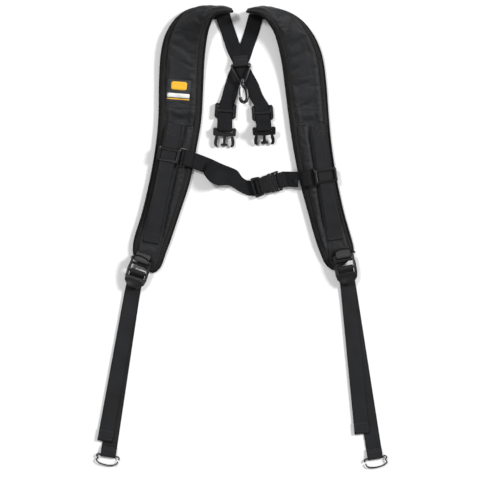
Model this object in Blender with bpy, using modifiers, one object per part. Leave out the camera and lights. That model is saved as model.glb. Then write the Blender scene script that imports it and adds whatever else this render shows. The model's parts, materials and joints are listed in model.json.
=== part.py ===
"""Padded shoulder-strap harness that carries a tool belt, laid flat with its front up.

Two J-shaped pads lie mirrored about the YZ plane. Each carries a rail webbing with a sternum slider,
a ladder lock with a lower strap and wire hook, and a rear webbing that crosses to the other side's
tri-glide and male buckle. Lengths are in millimetres here and become metres when a mesh is made.
X is to the right, Y towards the shoulders and Z up from the surface that the harness lies on.
"""

import math

import bmesh
import bpy
from mathutils import Matrix, Vector

MM = 0.001
GAP = 0.3  # clearance kept between touching pieces

# Webbing
WEB_WIDTH = 25.0
WEB_THICK = 1.3
REAR_WIDTH = 24.2
REAR_THICK = 1.2
WRAP_STEPS = 8

# Pad layers, as heights above the pad's underside
MESH_TOP = 1.6
FOAM_TOP = 8.6
COVER_TOP = 10.4
LAYER_INSET = 3.9
LAYER_GAP = 0.4
BINDING_WIDTH = 3.4
BINDING_LOW = 2.6
BINDING_HIGH = 7.4
PAD_STEPS = 3  # sections made between two stations

# Rail and sternum slider, as heights above the surface
SLIDER_LOW = 10.9
RAIL_LOW = 13.1
SLIDER_TOP = 17.3
SLIDER_HALF_LENGTH = 11.5
SLIDER_HALF_WIDTH = 18.0
LOOP_REACH = 27.0
LOOP_LOW = 13.4
LOOP_HIGH = 16.2
LOOP_WRAP = 3.1

# Ladder lock
LOCK_ROD = 2.2
LOCK_HALF_WIDTH = 17.6
LOCK_WINDOW = 14.4
LOCK_PITCH = 9.0
LOCK_BAR_HEIGHT = 15.0
LOCK_BAR_SPACING = 20.0
LOCK_TAB_END = 25.0
LOCK_CROSSBAR = (-9.6, -5.0)

# Wire hook
WIRE = 1.1
HOOK_HEIGHT = 3.1

# Side-release buckles
BUCKLE_ROD = 1.8
GUIDE_THICK = 4.0
STERNUM_TILT = 16.0
STERNUM_HEIGHT = 5.2
STERNUM_MALE_BAR = (57.3, 89.8)
FEMALE_MOUTH = -10.7
FEMALE_REAR = -43.0
FEMALE_THICK = 9.0
ADJUSTER_BAR = -35.0

# Back junction
JUNCTION = (-3.5, 275.2)
JUNCTION_TURN = 5.0
EYE_WIRE = 1.6
EYE_HALF_WIDTH = 15.2
EYE_LENGTH = 29.7
EYE_BAR_HEIGHT = 7.0
EYE_PITCH = -7.0

# Outer and inner edge of each pad, from its lower end to its tip: (x, y, z) outer, (x, y, z) inner,
# and the share of the full thickness there
PAD_STATIONS = {
    "left": [
        ((-165.5, -42, 0), (-142, -58.5, 0), 0.55),
        ((-174, -31, 0), (-131, -48, 0), 0.72),
        ((-176.5, -22, 0), (-123.5, -27, 0), 0.95),
        ((-174, -1, 0), (-115, -4, 0), 1.0),
        ((-162, 37, 0), (-101, 38, 0), 1.0),
        ((-149.5, 90, 0), (-85, 87, 0), 1.0),
        ((-140, 144, 0), (-74.5, 140, 0), 1.0),
        ((-135.5, 190, 0), (-66.5, 187, 0), 1.0),
        ((-134.5, 243, 0), (-63.5, 238, 0.5), 1.0),
        ((-132, 288, 1.5), (-61, 283, 5), 1.0),
        ((-125, 320, 2.6), (-55.5, 323, 13), 1.0),
        ((-112, 342, 2.8), (-48, 343, 25), 1.0),
        ((-94, 356, 2.8), (-42, 349.5, 33), 0.95),
        ((-70, 362.5, 2.8), (-33, 352, 36), 0.9),
        ((-46, 363, 3.2), (-25, 353, 35), 0.85),
        ((-30, 362, 5), (-19, 354, 31), 0.75),
        ((-19.5, 359.5, 8), (-16.5, 355, 26), 0.6),
    ],
    "right": [
        ((167, -38, 0), (144, -54, 0), 0.55),
        ((175, -29, 0), (131, -43, 0), 0.72),
        ((177.5, -20, 0), (122.5, -23, 0), 0.95),
        ((173, -1, 0), (115, -2, 0), 1.0),
        ((162, 37, 0), (104, 38, 0), 1.0),
        ((150.5, 90, 0), (91, 87, 0), 1.0),
        ((142, 144, 0), (80.5, 140, 0), 1.0),
        ((137.5, 190, 0), (73.5, 187, 0), 1.0),
        ((133.5, 243, 0), (67, 238, 0.5), 1.0),
        ((127, 288, 1.5), (60.5, 283, 5), 1.0),
        ((114, 320, 2.6), (50.5, 321, 13), 1.0),
        ((98, 340, 2.8), (41, 336.5, 25), 1.0),
        ((80, 351.5, 2.8), (32, 345, 33), 0.95),
        ((60, 358.5, 2.8), (24, 350, 36), 0.9),
        ((38, 362, 3.2), (15, 352.5, 35), 0.85),
        ((22, 361.5, 5), (9, 353.5, 31), 0.75),
        ((9, 359, 8), (5.5, 354.5, 26), 0.6),
    ],
}

# Places of what each side's pad carries: rail ends, slider centre along the rail, ladder lock and strap
SIDES = {
    "left": {
        "turn": 1,
        "rail_top": (-108.8, 179.2),
        "rail_bottom": (-147.5, -9.6),
        "slider_drop": 49.0,
        "lock_bar": (-161.6, -37.6),
        "lock_angle": -19.0,
        "anchor_length": 17.0,
        "load_angle": -8.5,
        "tail_angle": -10.4,
        "load_length": 297.0,
        "tail_length": 274.0,
        "anchor_tab": [(-67, 366.5), (-33.5, 366.5), (-33.5, 348), (-67, 348)],
    },
    "right": {
        "turn": -1,
        "rail_top": (119.2, 179.2),
        "rail_bottom": (148.0, -4.8),
        "slider_drop": 82.5,
        "lock_bar": (160.0, -29.9),
        "lock_angle": 10.0,
        "anchor_length": 16.0,
        "load_angle": 8.9,
        "tail_angle": 5.5,
        "load_length": 307.0,
        "tail_length": 265.0,
        "anchor_tab": [(24, 366), (29, 368), (56, 364), (56, 348), (24, 348)],
    },
}

# Rear webbing of each pad: the plan route of its centre line from the pad's tip to its buckle bar, with heights
REAR_ROUTES = {
    "left": [
        (-34, 356.4, 13), (-33.4, 357.8, 8), (-32.8, 357.2, 4.4), (-32, 354, 2.7), (-30.3, 347, 2.5),
        (-21.6, 322, 0.9), (-18.4, 312, 2.5), (-13, 296, 2.6), (-6.5, 283, 2.6), (-2.4, 273.6, 2.6),
        (5.6, 258, 2.6), (12.8, 244.8, 2.8), (19.2, 227, 3.4), (25.6, 217.2, 4.4), (29.6, 210.5, 4.4),
        (31.2, 198.4, 4.4), (32.2, 189, 4.6),
    ],
    "right": [
        (23.5, 354.4, 13), (23, 356.6, 8), (22, 356.6, 4.4), (20.8, 354, 2.7), (18.6, 346, 2.5),
        (12, 322, 0.9), (4.8, 302, 0.9), (0.5, 288, 0.9), (-5.6, 273.6, 0.9), (-11.2, 262.4, 0.9),
        (-14.6, 250, 0.9), (-17, 243, 1.9), (-19.3, 235, 3.3), (-21.9, 224, 4.4), (-25.6, 214.4, 4.4),
        (-28, 201.6, 4.4), (-29.1, 188, 4.5),
    ],
}
REAR_TAIL_TOP = {"left": 249.0, "right": 234.0}
REAR_BUCKLES = {
    "left": {"bar": (33.5, 172.0, 17.5), "pitch": 30.0, "angle": 2.0},
    "right": {"bar": (-29.3, 171.2, 8.2), "pitch": 9.0, "angle": -2.0},
}
TRI_GLIDES = {"left": (31.2, 198.4, 4.0), "right": (-28.0, 201.6, -4.0)}

COLOURS = {
    "cover_fabric": ((0.035, 0.036, 0.040), 0.75, 0.0),
    "pad_mesh": ((0.025, 0.025, 0.028), 0.90, 0.0),
    "foam": ((0.15, 0.15, 0.16), 0.95, 0.0),
    "binding_tape": ((0.018, 0.018, 0.020), 0.80, 0.0),
    "webbing": ((0.040, 0.042, 0.047), 0.70, 0.0),
    "hardware_plastic": ((0.015, 0.015, 0.016), 0.35, 0.0),
    "black_wire": ((0.012, 0.012, 0.013), 0.30, 0.6),
    "label": ((0.85, 0.80, 0.55), 0.60, 0.0),
}


def clear_scene():
    for old in list(bpy.data.objects):
        bpy.data.objects.remove(old, do_unlink=True)


clear_scene()
PARTS = bpy.data.collections.new("shoulder_harness")
CUTTERS = bpy.data.collections.new("cutters")
for collection in (PARTS, CUTTERS):
    bpy.context.scene.collection.children.link(collection)


def material(name):
    found = bpy.data.materials.get(name)
    if found:
        return found
    colour, roughness, metallic = COLOURS[name]
    made = bpy.data.materials.new(name)
    made.use_nodes = True
    shader = made.node_tree.nodes["Principled BSDF"]
    shader.inputs["Base Color"].default_value = (*colour, 1.0)
    shader.inputs["Roughness"].default_value = roughness
    shader.inputs["Metallic"].default_value = metallic
    return made


def add_object(name, mesh, slot):
    made = bpy.data.objects.new(name, mesh)
    if slot:
        mesh.materials.append(material(slot))
    PARTS.objects.link(made)
    return made


def from_bmesh(name, bm, slot):
    """A part from a bmesh drawn in millimetres."""
    bmesh.ops.scale(bm, vec=(MM, MM, MM), verts=bm.verts)
    bmesh.ops.recalc_face_normals(bm, faces=bm.faces)
    mesh = bpy.data.meshes.new(name)
    bm.to_mesh(mesh)
    bm.free()
    return add_object(name, mesh, slot)


def box(low, high, name="cutter", slot=None):
    bm = bmesh.new()
    bmesh.ops.create_cube(bm, size=1.0)
    low, high = Vector(low), Vector(high)
    bmesh.ops.scale(bm, vec=high - low, verts=bm.verts)
    bmesh.ops.translate(bm, vec=(low + high) / 2, verts=bm.verts)
    return from_bmesh(name, bm, slot)


def rod(start, end, radius, sides=12, name="cutter", slot=None):
    start, end = Vector(start), Vector(end)
    along = end - start
    bm = bmesh.new()
    bmesh.ops.create_cone(
        bm, cap_ends=True, segments=sides, radius1=radius, radius2=radius, depth=along.length
    )
    turn = Vector((0, 0, 1)).rotation_difference(along).to_matrix().to_4x4()
    bmesh.ops.transform(bm, matrix=Matrix.Translation((start + end) / 2) @ turn, verts=bm.verts)
    return from_bmesh(name, bm, slot)


def plate(outline, low, high, name="cutter", slot=None):
    """A flat outline extruded between two heights."""
    bm = bmesh.new()
    base = bm.faces.new([bm.verts.new((x, y, low)) for x, y in outline])
    raised = bmesh.ops.extrude_face_region(bm, geom=[base])["geom"]
    top = [vert for vert in raised if isinstance(vert, bmesh.types.BMVert)]
    bmesh.ops.translate(bm, vec=(0, 0, high - low), verts=top)
    return from_bmesh(name, bm, slot)


def tube(points, radius, name="cutter", slot=None, bevel=2):
    """A round wire along a smooth open route."""
    curve = bpy.data.curves.new(name, "CURVE")
    curve.dimensions = "3D"
    curve.bevel_depth = radius * MM
    curve.bevel_resolution = bevel
    curve.use_fill_caps = True
    spline = curve.splines.new("POLY")
    spline.points.add(len(points) - 1)
    for point, co in zip(spline.points, points):
        point.co = (*(Vector(co) * MM), 1)
    drawn = bpy.data.objects.new(name + "_curve", curve)
    bpy.context.scene.collection.objects.link(drawn)
    bpy.context.view_layer.update()
    evaluated = drawn.evaluated_get(bpy.context.evaluated_depsgraph_get())
    mesh = bpy.data.meshes.new_from_object(evaluated)
    bpy.data.objects.remove(drawn, do_unlink=True)
    bm = bmesh.new()
    bm.from_mesh(mesh)
    bmesh.ops.remove_doubles(bm, verts=bm.verts, dist=1e-5)
    bmesh.ops.recalc_face_normals(bm, faces=bm.faces)
    mesh = bpy.data.meshes.new(name)
    bm.to_mesh(mesh)
    bm.free()
    return add_object(name, mesh, slot)


def combine(base, others, operation):
    """Joins or cuts base with cutters drawn in the same frame; they follow base when it is placed."""
    for other in others:
        PARTS.objects.unlink(other)
        CUTTERS.objects.link(other)
        other.parent = base
        other.hide_render = True
        other.display_type = "WIRE"
        modifier = base.modifiers.new(operation.lower(), "BOOLEAN")
        modifier.operation = operation
        modifier.solver = "EXACT"
        modifier.object = other
    return base


def join(base, *others):
    return combine(base, others, "UNION")


def cut(base, *others):
    return combine(base, others, "DIFFERENCE")


def place(part, at, angle=0.0, pitch=0.0):
    """Puts a part drawn about its own origin where it lies; pitch turns it about its own X."""
    part.location = Vector(at) * MM
    part.rotation_euler = (math.radians(pitch), 0, math.radians(angle))
    return part


def heading(angle):
    """A part's own up-strap direction in plan when it is turned by angle."""
    return Vector((-math.sin(math.radians(angle)), math.cos(math.radians(angle)), 0))


def across(angle):
    return Vector((math.cos(math.radians(angle)), math.sin(math.radians(angle)), 0))


def smooth(points, steps):
    """Catmull-Rom points through the given points, which may hold any count of numbers."""
    padded = [points[0], *points, points[-1]]
    found = []
    for i in range(1, len(padded) - 2):
        p0, p1, p2, p3 = (Vector(p) for p in padded[i - 1 : i + 3])
        for k in range(steps):
            t = k / steps
            found.append(
                (2 * p1 + (p2 - p0) * t + (2 * p0 - 5 * p1 + 4 * p2 - p3) * t * t
                 + (3 * p1 - p0 - 3 * p2 + p3) * t ** 3) / 2
            )
    found.append(Vector(points[-1]))
    return found


def arc(centre, radius, start, end, steps=WRAP_STEPS):
    """Points (s, z) of an arc in a strap's own upright plane; angles from +s towards +z."""
    found = []
    for k in range(steps + 1):
        turn = math.radians(start + (end - start) * k / steps)
        found.append((centre[0] + radius * math.cos(turn), centre[1] + radius * math.sin(turn)))
    return found


def ribbon(name, stations, slot="webbing", width=WEB_WIDTH, thick=WEB_THICK):
    """Webbing through stations (centre, unit vector across it): an open strip given its thickness."""
    bm = bmesh.new()
    rows = []
    for centre, side in stations:
        rows.append([bm.verts.new(Vector(centre) + side * (width / 2 * end)) for end in (-1, 1)])
    for first, second in zip(rows, rows[1:]):
        bm.faces.new((first[0], first[1], second[1], second[0]))
    made = from_bmesh(name, bm, slot)
    solid = made.modifiers.new("thickness", "SOLIDIFY")
    solid.thickness = thick * MM
    solid.offset = 0.0
    solid.use_even_offset = True
    return made


def loft(name, sections, slot, closed=False):
    """A solid through sections with the same number of corners; closed joins the last to the first.

    Upper and lower faces are split along the same diagonals, so that stacked layers stay apart.
    """
    bm = bmesh.new()
    rings = [[bm.verts.new(corner) for corner in section] for section in sections]
    pairs = list(zip(rings, rings[1:] + rings[:1])) if closed else list(zip(rings, rings[1:]))
    for first, second in pairs:
        count = len(first)
        for i in range(count):
            j = (i + 1) % count
            if i < count // 2:
                bm.faces.new((first[i], first[j], second[j]))
                bm.faces.new((first[i], second[j], second[i]))
            else:
                bm.faces.new((first[i], first[j], second[i]))
                bm.faces.new((first[j], second[j], second[i]))
    if not closed:
        bm.faces.new(rings[0])
        bm.faces.new(list(reversed(rings[-1])))
    return from_bmesh(name, bm, slot)


# ---- Pads ----


def pad_frames(side):
    """Fine stations of a pad: outer edge, inner edge, unit vectors across, along and up, and thickness share."""
    rows = [(*outer, *inner, share) for outer, inner, share in PAD_STATIONS[side]]
    fine = smooth(rows, PAD_STEPS)
    fine = fine[:1] + fine[2:-3] + fine[-1:]  # the insets at both ends need their room
    for row in fine:
        row[2], row[5] = max(row[2], 0.0), max(row[5], 0.0)
    middles = [(Vector(row[0:3]) + Vector(row[3:6])) / 2 for row in fine]
    turn = SIDES[side]["turn"]
    frames = []
    for i, row in enumerate(fine):
        outer, inner = Vector(row[0:3]), Vector(row[3:6])
        before, after = middles[max(i - 1, 0)], middles[min(i + 1, len(middles) - 1)]
        along = (after - before).normalized()
        inward = (inner - outer).normalized()
        up = inward.cross(along).normalized() * turn
        frames.append((outer, inner, inward, along, up, row[6]))
    return frames


def trimmed(frames, inset):
    """The frames with both edges and both ends drawn in by inset."""
    found = []
    last = len(frames) - 1
    for i, (outer, inner, inward, along, up, share) in enumerate(frames):
        shift = along * inset if i == 0 else -along * inset if i == last else Vector((0, 0, 0))
        found.append((outer + inward * inset + shift, inner - inward * inset + shift, up, share))
    return found


def pad_layer(name, side, low, lift, high, slot):
    """One layer of a pad; lift is its clearance over the layer beneath, which doesn't thin with the pad."""
    sections = []
    for outer, inner, up, share in trimmed(pad_frames(side), LAYER_INSET):
        under, over = up * (low * share + lift), up * high * share
        sections.append([outer + under, inner + under, inner + over, outer + over])
    return loft(name, sections, slot)


def pad_binding(side):
    frames = pad_frames(side)
    edge = trimmed(frames, 0.0)
    inset = trimmed(frames, BINDING_WIDTH)
    ring = [(e[0], i[0], e[2], e[3]) for e, i in zip(edge, inset)]
    ring += [(e[1], i[1], e[2], e[3]) for e, i in zip(reversed(edge), reversed(inset))]
    sections = []
    for rim, inside, up, share in ring:
        low, high = up * BINDING_LOW * share, up * BINDING_HIGH * share
        sections.append([rim + low, inside + low, inside + high, rim + high])
    return loft(f"pad_binding_{side}", sections, "binding_tape", closed=True)


def pad(side):
    pad_layer(f"pad_back_mesh_{side}", side, 0.0, 0.0, MESH_TOP, "pad_mesh")
    pad_layer(f"pad_foam_{side}", side, MESH_TOP, LAYER_GAP, FOAM_TOP, "foam")
    pad_layer(f"pad_front_cover_{side}", side, FOAM_TOP, LAYER_GAP, COVER_TOP, "cover_fabric")
    pad_binding(side)
    plate(SIDES[side]["anchor_tab"], GAP, GAP + WEB_THICK, f"rear_anchor_tab_{side}", "webbing")


def label_patch():
    half_width, half_height, thick = 18.8, 18.2, 0.5
    made = box(
        (-half_width, -half_height, 0), (half_width, half_height, thick), "label_patch", "label"
    )
    place(made, (-102.2, 233.2, COVER_TOP + 1.3), -4.0)


# ---- Rails and sternum sliders ----


def rail_line(side):
    top, bottom = (Vector((*SIDES[side][end], 0)) for end in ("rail_top", "rail_bottom"))
    return top, (bottom - top).normalized(), (bottom - top).length


def rail_webbing(side):
    """Sewn to the cover at both ends and standing off it between them, so that the slider can run."""
    top, down, length = rail_line(side)
    sewn = COVER_TOP + GAP + WEB_THICK / 2
    raised = RAIL_LOW + WEB_THICK / 2
    profile = [(0, sewn), (6, sewn), (12, raised), (length - 30, raised), (length - 20, sewn), (length, sewn)]
    side_way = Vector((-down.y, down.x, 0))
    ribbon(f"rail_webbing_{side}", [(top + down * s + Vector((0, 0, z)), side_way) for s, z in profile])


def sternum_slider(side):
    """A frame of two bars over the rail and one under it, with a loop at its inner side."""
    turn = SIDES[side]["turn"]
    window = WEB_WIDTH / 2 + 0.8
    front = SLIDER_TOP - 2.0
    reach, half = LOOP_REACH, WEB_WIDTH / 2 + 3.0
    outline = [
        (-SLIDER_HALF_WIDTH, -SLIDER_HALF_LENGTH + 2), (-SLIDER_HALF_WIDTH + 2, -SLIDER_HALF_LENGTH),
        (SLIDER_HALF_WIDTH - 2, -SLIDER_HALF_LENGTH), (SLIDER_HALF_WIDTH, -half), (reach, -half),
        (reach + 1.8, -half + 2), (reach + 1.8, half - 2), (reach, half), (SLIDER_HALF_WIDTH, half),
        (SLIDER_HALF_WIDTH - 2, SLIDER_HALF_LENGTH), (-SLIDER_HALF_WIDTH + 2, SLIDER_HALF_LENGTH),
        (-SLIDER_HALF_WIDTH, SLIDER_HALF_LENGTH - 2),
    ]
    outline = [(x * turn, y) for x, y in outline]
    body = plate(outline, SLIDER_LOW, SLIDER_TOP, f"sternum_slider_{side}", "hardware_plastic")
    far = SLIDER_HALF_LENGTH + 2
    inner_side = sorted((SLIDER_HALF_WIDTH * turn, (reach + 4) * turn))
    slot_side = sorted(((SLIDER_HALF_WIDTH + 0.6) * turn, (reach - 1.6) * turn))
    cut(
        body,
        box((-window, -far, RAIL_LOW - 0.5), (window, far, front)),  # the rail's way through
        box((-window, -7.0, front - 1), (window, 7.0, SLIDER_TOP + 1)),  # between the two front bars
        box((-window, -far, SLIDER_LOW - 1), (window, -4.5, RAIL_LOW)),  # below the back bar's ends
        box((-window, 4.5, SLIDER_LOW - 1), (window, far, RAIL_LOW)),
        box((slot_side[0], -half + 2.4, SLIDER_LOW - 1), (slot_side[1], half - 2.4, SLIDER_TOP + 1)),
        box((inner_side[0], -half - 1, SLIDER_LOW - 1), (inner_side[1], half + 1, LOOP_LOW)),
        box((inner_side[0], -half - 1, LOOP_HIGH), (inner_side[1], half + 1, SLIDER_TOP + 1)),
    )
    top, down, _ = rail_line(side)
    at = top + down * SIDES[side]["slider_drop"]
    return place(body, at, rail_angle(side))


def rail_angle(side):
    _, down, _ = rail_line(side)
    return math.degrees(math.atan2(down.x, -down.y))


def slider_loop_bar(side):
    """Middle of the slider's loop bar, which the sternum webbing wraps."""
    top, down, _ = rail_line(side)
    at = top + down * SIDES[side]["slider_drop"]
    return at + across(rail_angle(side)) * (LOOP_REACH + 0.1) * SIDES[side]["turn"]


# ---- Ladder locks, lower straps and wire hooks ----


def lock_point(side, along, height):
    """A point in a ladder lock's upright plane, along its own direction from the anchor bar towards the tab."""
    data = SIDES[side]
    down = -heading(data["lock_angle"])
    return Vector((*data["lock_bar"], 0)) + down * along + Vector((0, 0, height))


def middle_bar_height():
    return LOCK_BAR_HEIGHT - LOCK_BAR_SPACING * math.sin(math.radians(LOCK_PITCH))


def ladder_lock(side):
    """Drawn about its anchor bar, with its thumb tab towards -Y."""
    width, window, thick = LOCK_HALF_WIDTH, LOCK_WINDOW, 1.9
    bar, tab = -LOCK_BAR_SPACING, -LOCK_BAR_SPACING - LOCK_TAB_END
    outline = [
        (-width + 2, 2.0), (width - 2, 2.0), (width - 1, 0), (width - 1, -8), (width, -14), (width, bar - 9),
        (width - 1.5, bar - 17), (width - 5, bar - 21), (width - 10, tab), (-width + 10, tab),
        (-width + 5, bar - 21), (-width + 1.5, bar - 17), (-width, bar - 9), (-width, -14),
        (-width + 1, -8), (-width + 1, 0),
    ]
    body = plate(outline, -thick, thick, f"ladder_lock_{side}", "hardware_plastic")
    cut(
        body,
        box((-window, bar - 8.0, -5), (window, LOCK_CROSSBAR[0], 5)),
        box((-window, LOCK_CROSSBAR[1], -5), (window, 3.0, 5)),
    )
    join(
        body,
        rod((-window - 1.5, 0, 0), (window + 1.5, 0, 0), 1.9),
        rod((-window - 1.5, bar, 0), (window + 1.5, bar, 0), LOCK_ROD),
    )
    at = Vector((*SIDES[side]["lock_bar"], LOCK_BAR_HEIGHT))
    return place(body, at, SIDES[side]["lock_angle"], LOCK_PITCH)


def lock_anchor(side):
    """Webbing sewn on the pad's lower end, wrapped down and back round the ladder lock's anchor bar."""
    wrap = 1.9 + GAP + WEB_THICK / 2 + 0.25
    bar = LOCK_BAR_HEIGHT
    sewn = COVER_TOP + GAP + WEB_THICK / 2
    profile = [(-SIDES[side]["anchor_length"], sewn), (-12, sewn + 0.3), (-6, bar + wrap - 1.3)]
    profile += arc((0, bar), wrap, 100, -80)
    profile += [(-4, bar - wrap + 0.2)]
    angle = SIDES[side]["lock_angle"]
    stations = [(lock_point(side, s, z), across(angle)) for s, z in profile]
    ribbon(f"ladder_lock_anchor_{side}", stations, width=WEB_WIDTH - 1)


def strap_plan(side, final_angle):
    """Gives plan places along a lower strap: it leaves the bar in the lock's direction and turns to its own."""
    data = SIDES[side]
    start = lock_point(side, LOCK_BAR_SPACING * math.cos(math.radians(LOCK_PITCH)), 0)
    turn_from, turn_length, step = 8.0, 40.0, 2.0

    def angle_at(distance):
        left = max(0.0, 1 - max(0.0, distance - turn_from) / turn_length)
        return final_angle + (data["lock_angle"] - final_angle) * left * left

    def at(distance):
        place_now, gone = start.copy(), min(distance, turn_from)
        place_now -= heading(data["lock_angle"]) * gone
        while gone < distance:
            stride = min(step, distance - gone)
            place_now -= heading(angle_at(gone + stride / 2)) * stride
            gone += stride
        return place_now, across(angle_at(distance))

    return at


def strap_end(side):
    """The wire hook's axis: its middle and its angle."""
    data = SIDES[side]
    middle, side_way = strap_plan(side, data["load_angle"])(data["load_length"])
    return middle, math.degrees(math.atan2(side_way.y, side_way.x))


def lower_strap(side):
    """One webbing: the hook's loop, the load run, the wrap over the lock's middle bar, and the tail on top."""
    data = SIDES[side]
    load_at = strap_plan(side, data["load_angle"])
    tail_at = strap_plan(side, data["tail_angle"])
    end, tail_end = data["load_length"], data["tail_length"]
    low = GAP + WEB_THICK / 2
    hook_wrap = WIRE + GAP + WEB_THICK / 2 + 0.1
    bar = middle_bar_height()
    wrap = LOCK_ROD + GAP + WEB_THICK / 2 + 0.15
    load = [(end - 15, low + 1.7), (end - 9, low + 2.1), (end - 4, HOOK_HEIGHT + hook_wrap - 0.6)]
    load += arc((end, HOOK_HEIGHT), hook_wrap, 95, -90)
    load += [(end - 8, low), (end - 40, low), (200, low), (140, low), (90, low), (55, low), (42, low), (30, low)]
    load += [(22, low + 0.1), (14, low + 0.6), (7, low + 2.0), (1, low + 4.2), (-2.4, bar - 3.2)]
    over = arc((0, bar), wrap, 190, 10)
    tail = [(4.2, bar - 2.2), (7.4, bar - 4.8), (12, bar - 6.3), (18, low + 3.4), (26, low + 2.8), (38, low + 2.2)]
    tail += [(50, low + 1.8), (80, low + 1.7), (140, low + 1.7), (200, low + 1.7), (tail_end, low + 1.7)]
    stations = []
    for at, profile in ((load_at, load), (tail_at, over + tail)):
        for s, z in profile:
            middle, side_way = at(s)
            stations.append((middle + Vector((0, 0, z)), side_way))
    strap = ribbon(f"lower_strap_{side}", stations, width=WEB_WIDTH - 0.4)
    return strap


def wire_hook(side):
    """A pinched ring of wire, open at its inner end, drawn about its upper bar."""
    turn = SIDES[side]["turn"]
    route = [
        (16.9, -7.6), (14.4, -12.6), (7, -15.0), (-2, -15.4), (-12.4, -13.6), (-17.6, -9.6), (-15.6, -5.6),
        (-18.4, -2.0), (-15.6, 0.8), (-12, 0), (-6, 0), (6, 0), (12.5, 0), (16.6, -0.6), (18.2, -3.0), (17.2, -5.0),
    ]
    points = [(x * turn, y, 0) for x, y in smooth(route, 3)]
    made = tube(points, WIRE, f"wire_hook_{side}", "black_wire")
    middle, angle = strap_end(side)
    return place(made, middle + Vector((0, 0, HOOK_HEIGHT)), angle)


# ---- Side-release buckles ----


def male_buckle(name, half_width, window):
    """Base with a webbing bar and a centre guide, drawn about the bar; the prongs are separate."""
    half = GUIDE_THICK / 2
    outline = [
        (-half_width + 1.5, BUCKLE_ROD + 1.2), (-window, BUCKLE_ROD + 1.2), (-window, -4.2),
        (window, -4.2), (window, BUCKLE_ROD + 1.2), (half_width - 1.5, BUCKLE_ROD + 1.2),
        (half_width, 1), (half_width - 0.6, -9.0), (half_width - 2.5, -10.0), (8.6, -10.0), (2.1, -11.0),
        (2.1, -22.0), (5.8, -23.4), (5.8, -25.6), (-5.8, -25.6), (-5.8, -23.4), (-2.1, -22.0), (-2.1, -11.0),
        (-8.6, -10.0), (-half_width + 2.5, -10.0), (-half_width + 0.6, -9.0), (-half_width, 1),
    ]
    body = plate(outline, -half, half, name, "hardware_plastic")
    return join(body, rod((-window - 1.4, 0, 0), (window + 1.4, 0, 0), BUCKLE_ROD))


def prong(name, hand, half_width):
    """A flexing arm with a rounded press face, drawn about its root; hand is -1 at local -X."""
    half = GUIDE_THICK / 2 - 0.2
    root = half_width - 7.3
    outline = [
        (-0.6, 0), (3.0, 0), (4.2, -4), (5.1, -8), (5.2, -12.5), (4.2, -15.8), (0.8, -17.6), (-1.4, -17.0),
        (-0.5, -14.8), (0.2, -12.6), (0, -9), (-0.7, -5.5), (-1.0, -2),
    ]
    made = plate([(x * hand, y) for x, y in outline], -half, half, name, "hardware_plastic")
    return made, Vector((root * hand, -10.0 - GAP, 0))


def prong_pair(stem, at, angle, pitch, half_width):
    turn = Matrix.Rotation(math.radians(angle), 4, "Z") @ Matrix.Rotation(math.radians(pitch), 4, "X")
    for hand, label in ((-1, "left"), (1, "right")):
        made, root = prong(f"{stem}_prong_{label}", hand, half_width)
        place(made, Vector(at) + turn @ root, angle, pitch)


def sternum_frame():
    """Place and angle of the sternum buckle, whose own +Y runs from the female half to the male half."""
    return Vector((*STERNUM_MALE_BAR, STERNUM_HEIGHT)), STERNUM_TILT - 90


def sternum_male():
    at, angle = sternum_frame()
    half_width = 16.2
    place(male_buckle("sternum_male_buckle", half_width, WEB_WIDTH / 2 + 1.1), at, angle)
    prong_pair("sternum", at, angle, 0, half_width)


def sternum_female():
    """Hourglass shell with an open mouth, side windows and two adjuster bars."""
    half = FEMALE_THICK / 2 - 0.4
    mouth, rear, inside = FEMALE_MOUTH, FEMALE_REAR, ADJUSTER_BAR + 5.0
    right = [
        (15.2, mouth), (15.6, mouth - 3.5), (13.2, mouth - 7), (11.6, mouth - 11), (12.4, mouth - 16),
        (15.4, mouth - 20), (16.2, rear + 3), (15, rear),
    ]
    outline = right + [(-x, y) for x, y in reversed(right)]
    body = plate(outline, -half, half, "sternum_female_buckle", "hardware_plastic")
    window = WEB_WIDTH / 2 + 0.9
    cut(
        body,
        box((-14.4, inside + 0.8, -2.5), (14.4, mouth + 2, 2.5)),  # the male half's cavity
        box((-window, rear + 2.6, -6), (window, inside - 1.2, 6)),  # both adjuster slots in one
        box((-20, rear - 1, -6), (20, rear + 2.7, -1.5)),  # under the end bar
    )
    join(body, rod((-window - 1.2, ADJUSTER_BAR, 0), (window + 1.2, ADJUSTER_BAR, 0), 1.7))
    at, angle = sternum_frame()
    return place(body, at, angle)


def rear_buckle(side):
    data = REAR_BUCKLES[side]
    half_width = 18.6
    name = f"rear_male_buckle_{side}"
    place(male_buckle(name, half_width, REAR_WIDTH / 2 + 0.8), data["bar"], data["angle"], data["pitch"])
    prong_pair(name, data["bar"], data["angle"], data["pitch"], half_width)


# ---- Sternum webbing ----


def lay(anchor, angle, profile):
    """Stations of a strip that runs at an angle in plan from an anchor, through (distance, height) points.

    A third number in a point puts it off to the side of the run.
    """
    flat = Vector((anchor.x, anchor.y, 0))
    side_way = across(angle + 90)
    stations = []
    for s, z, *aside in profile:
        stations.append((flat + across(angle) * s + side_way * sum(aside) + Vector((0, 0, z)), side_way))
    return stations


def loop_height():
    return (LOOP_LOW + LOOP_HIGH) / 2


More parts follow.
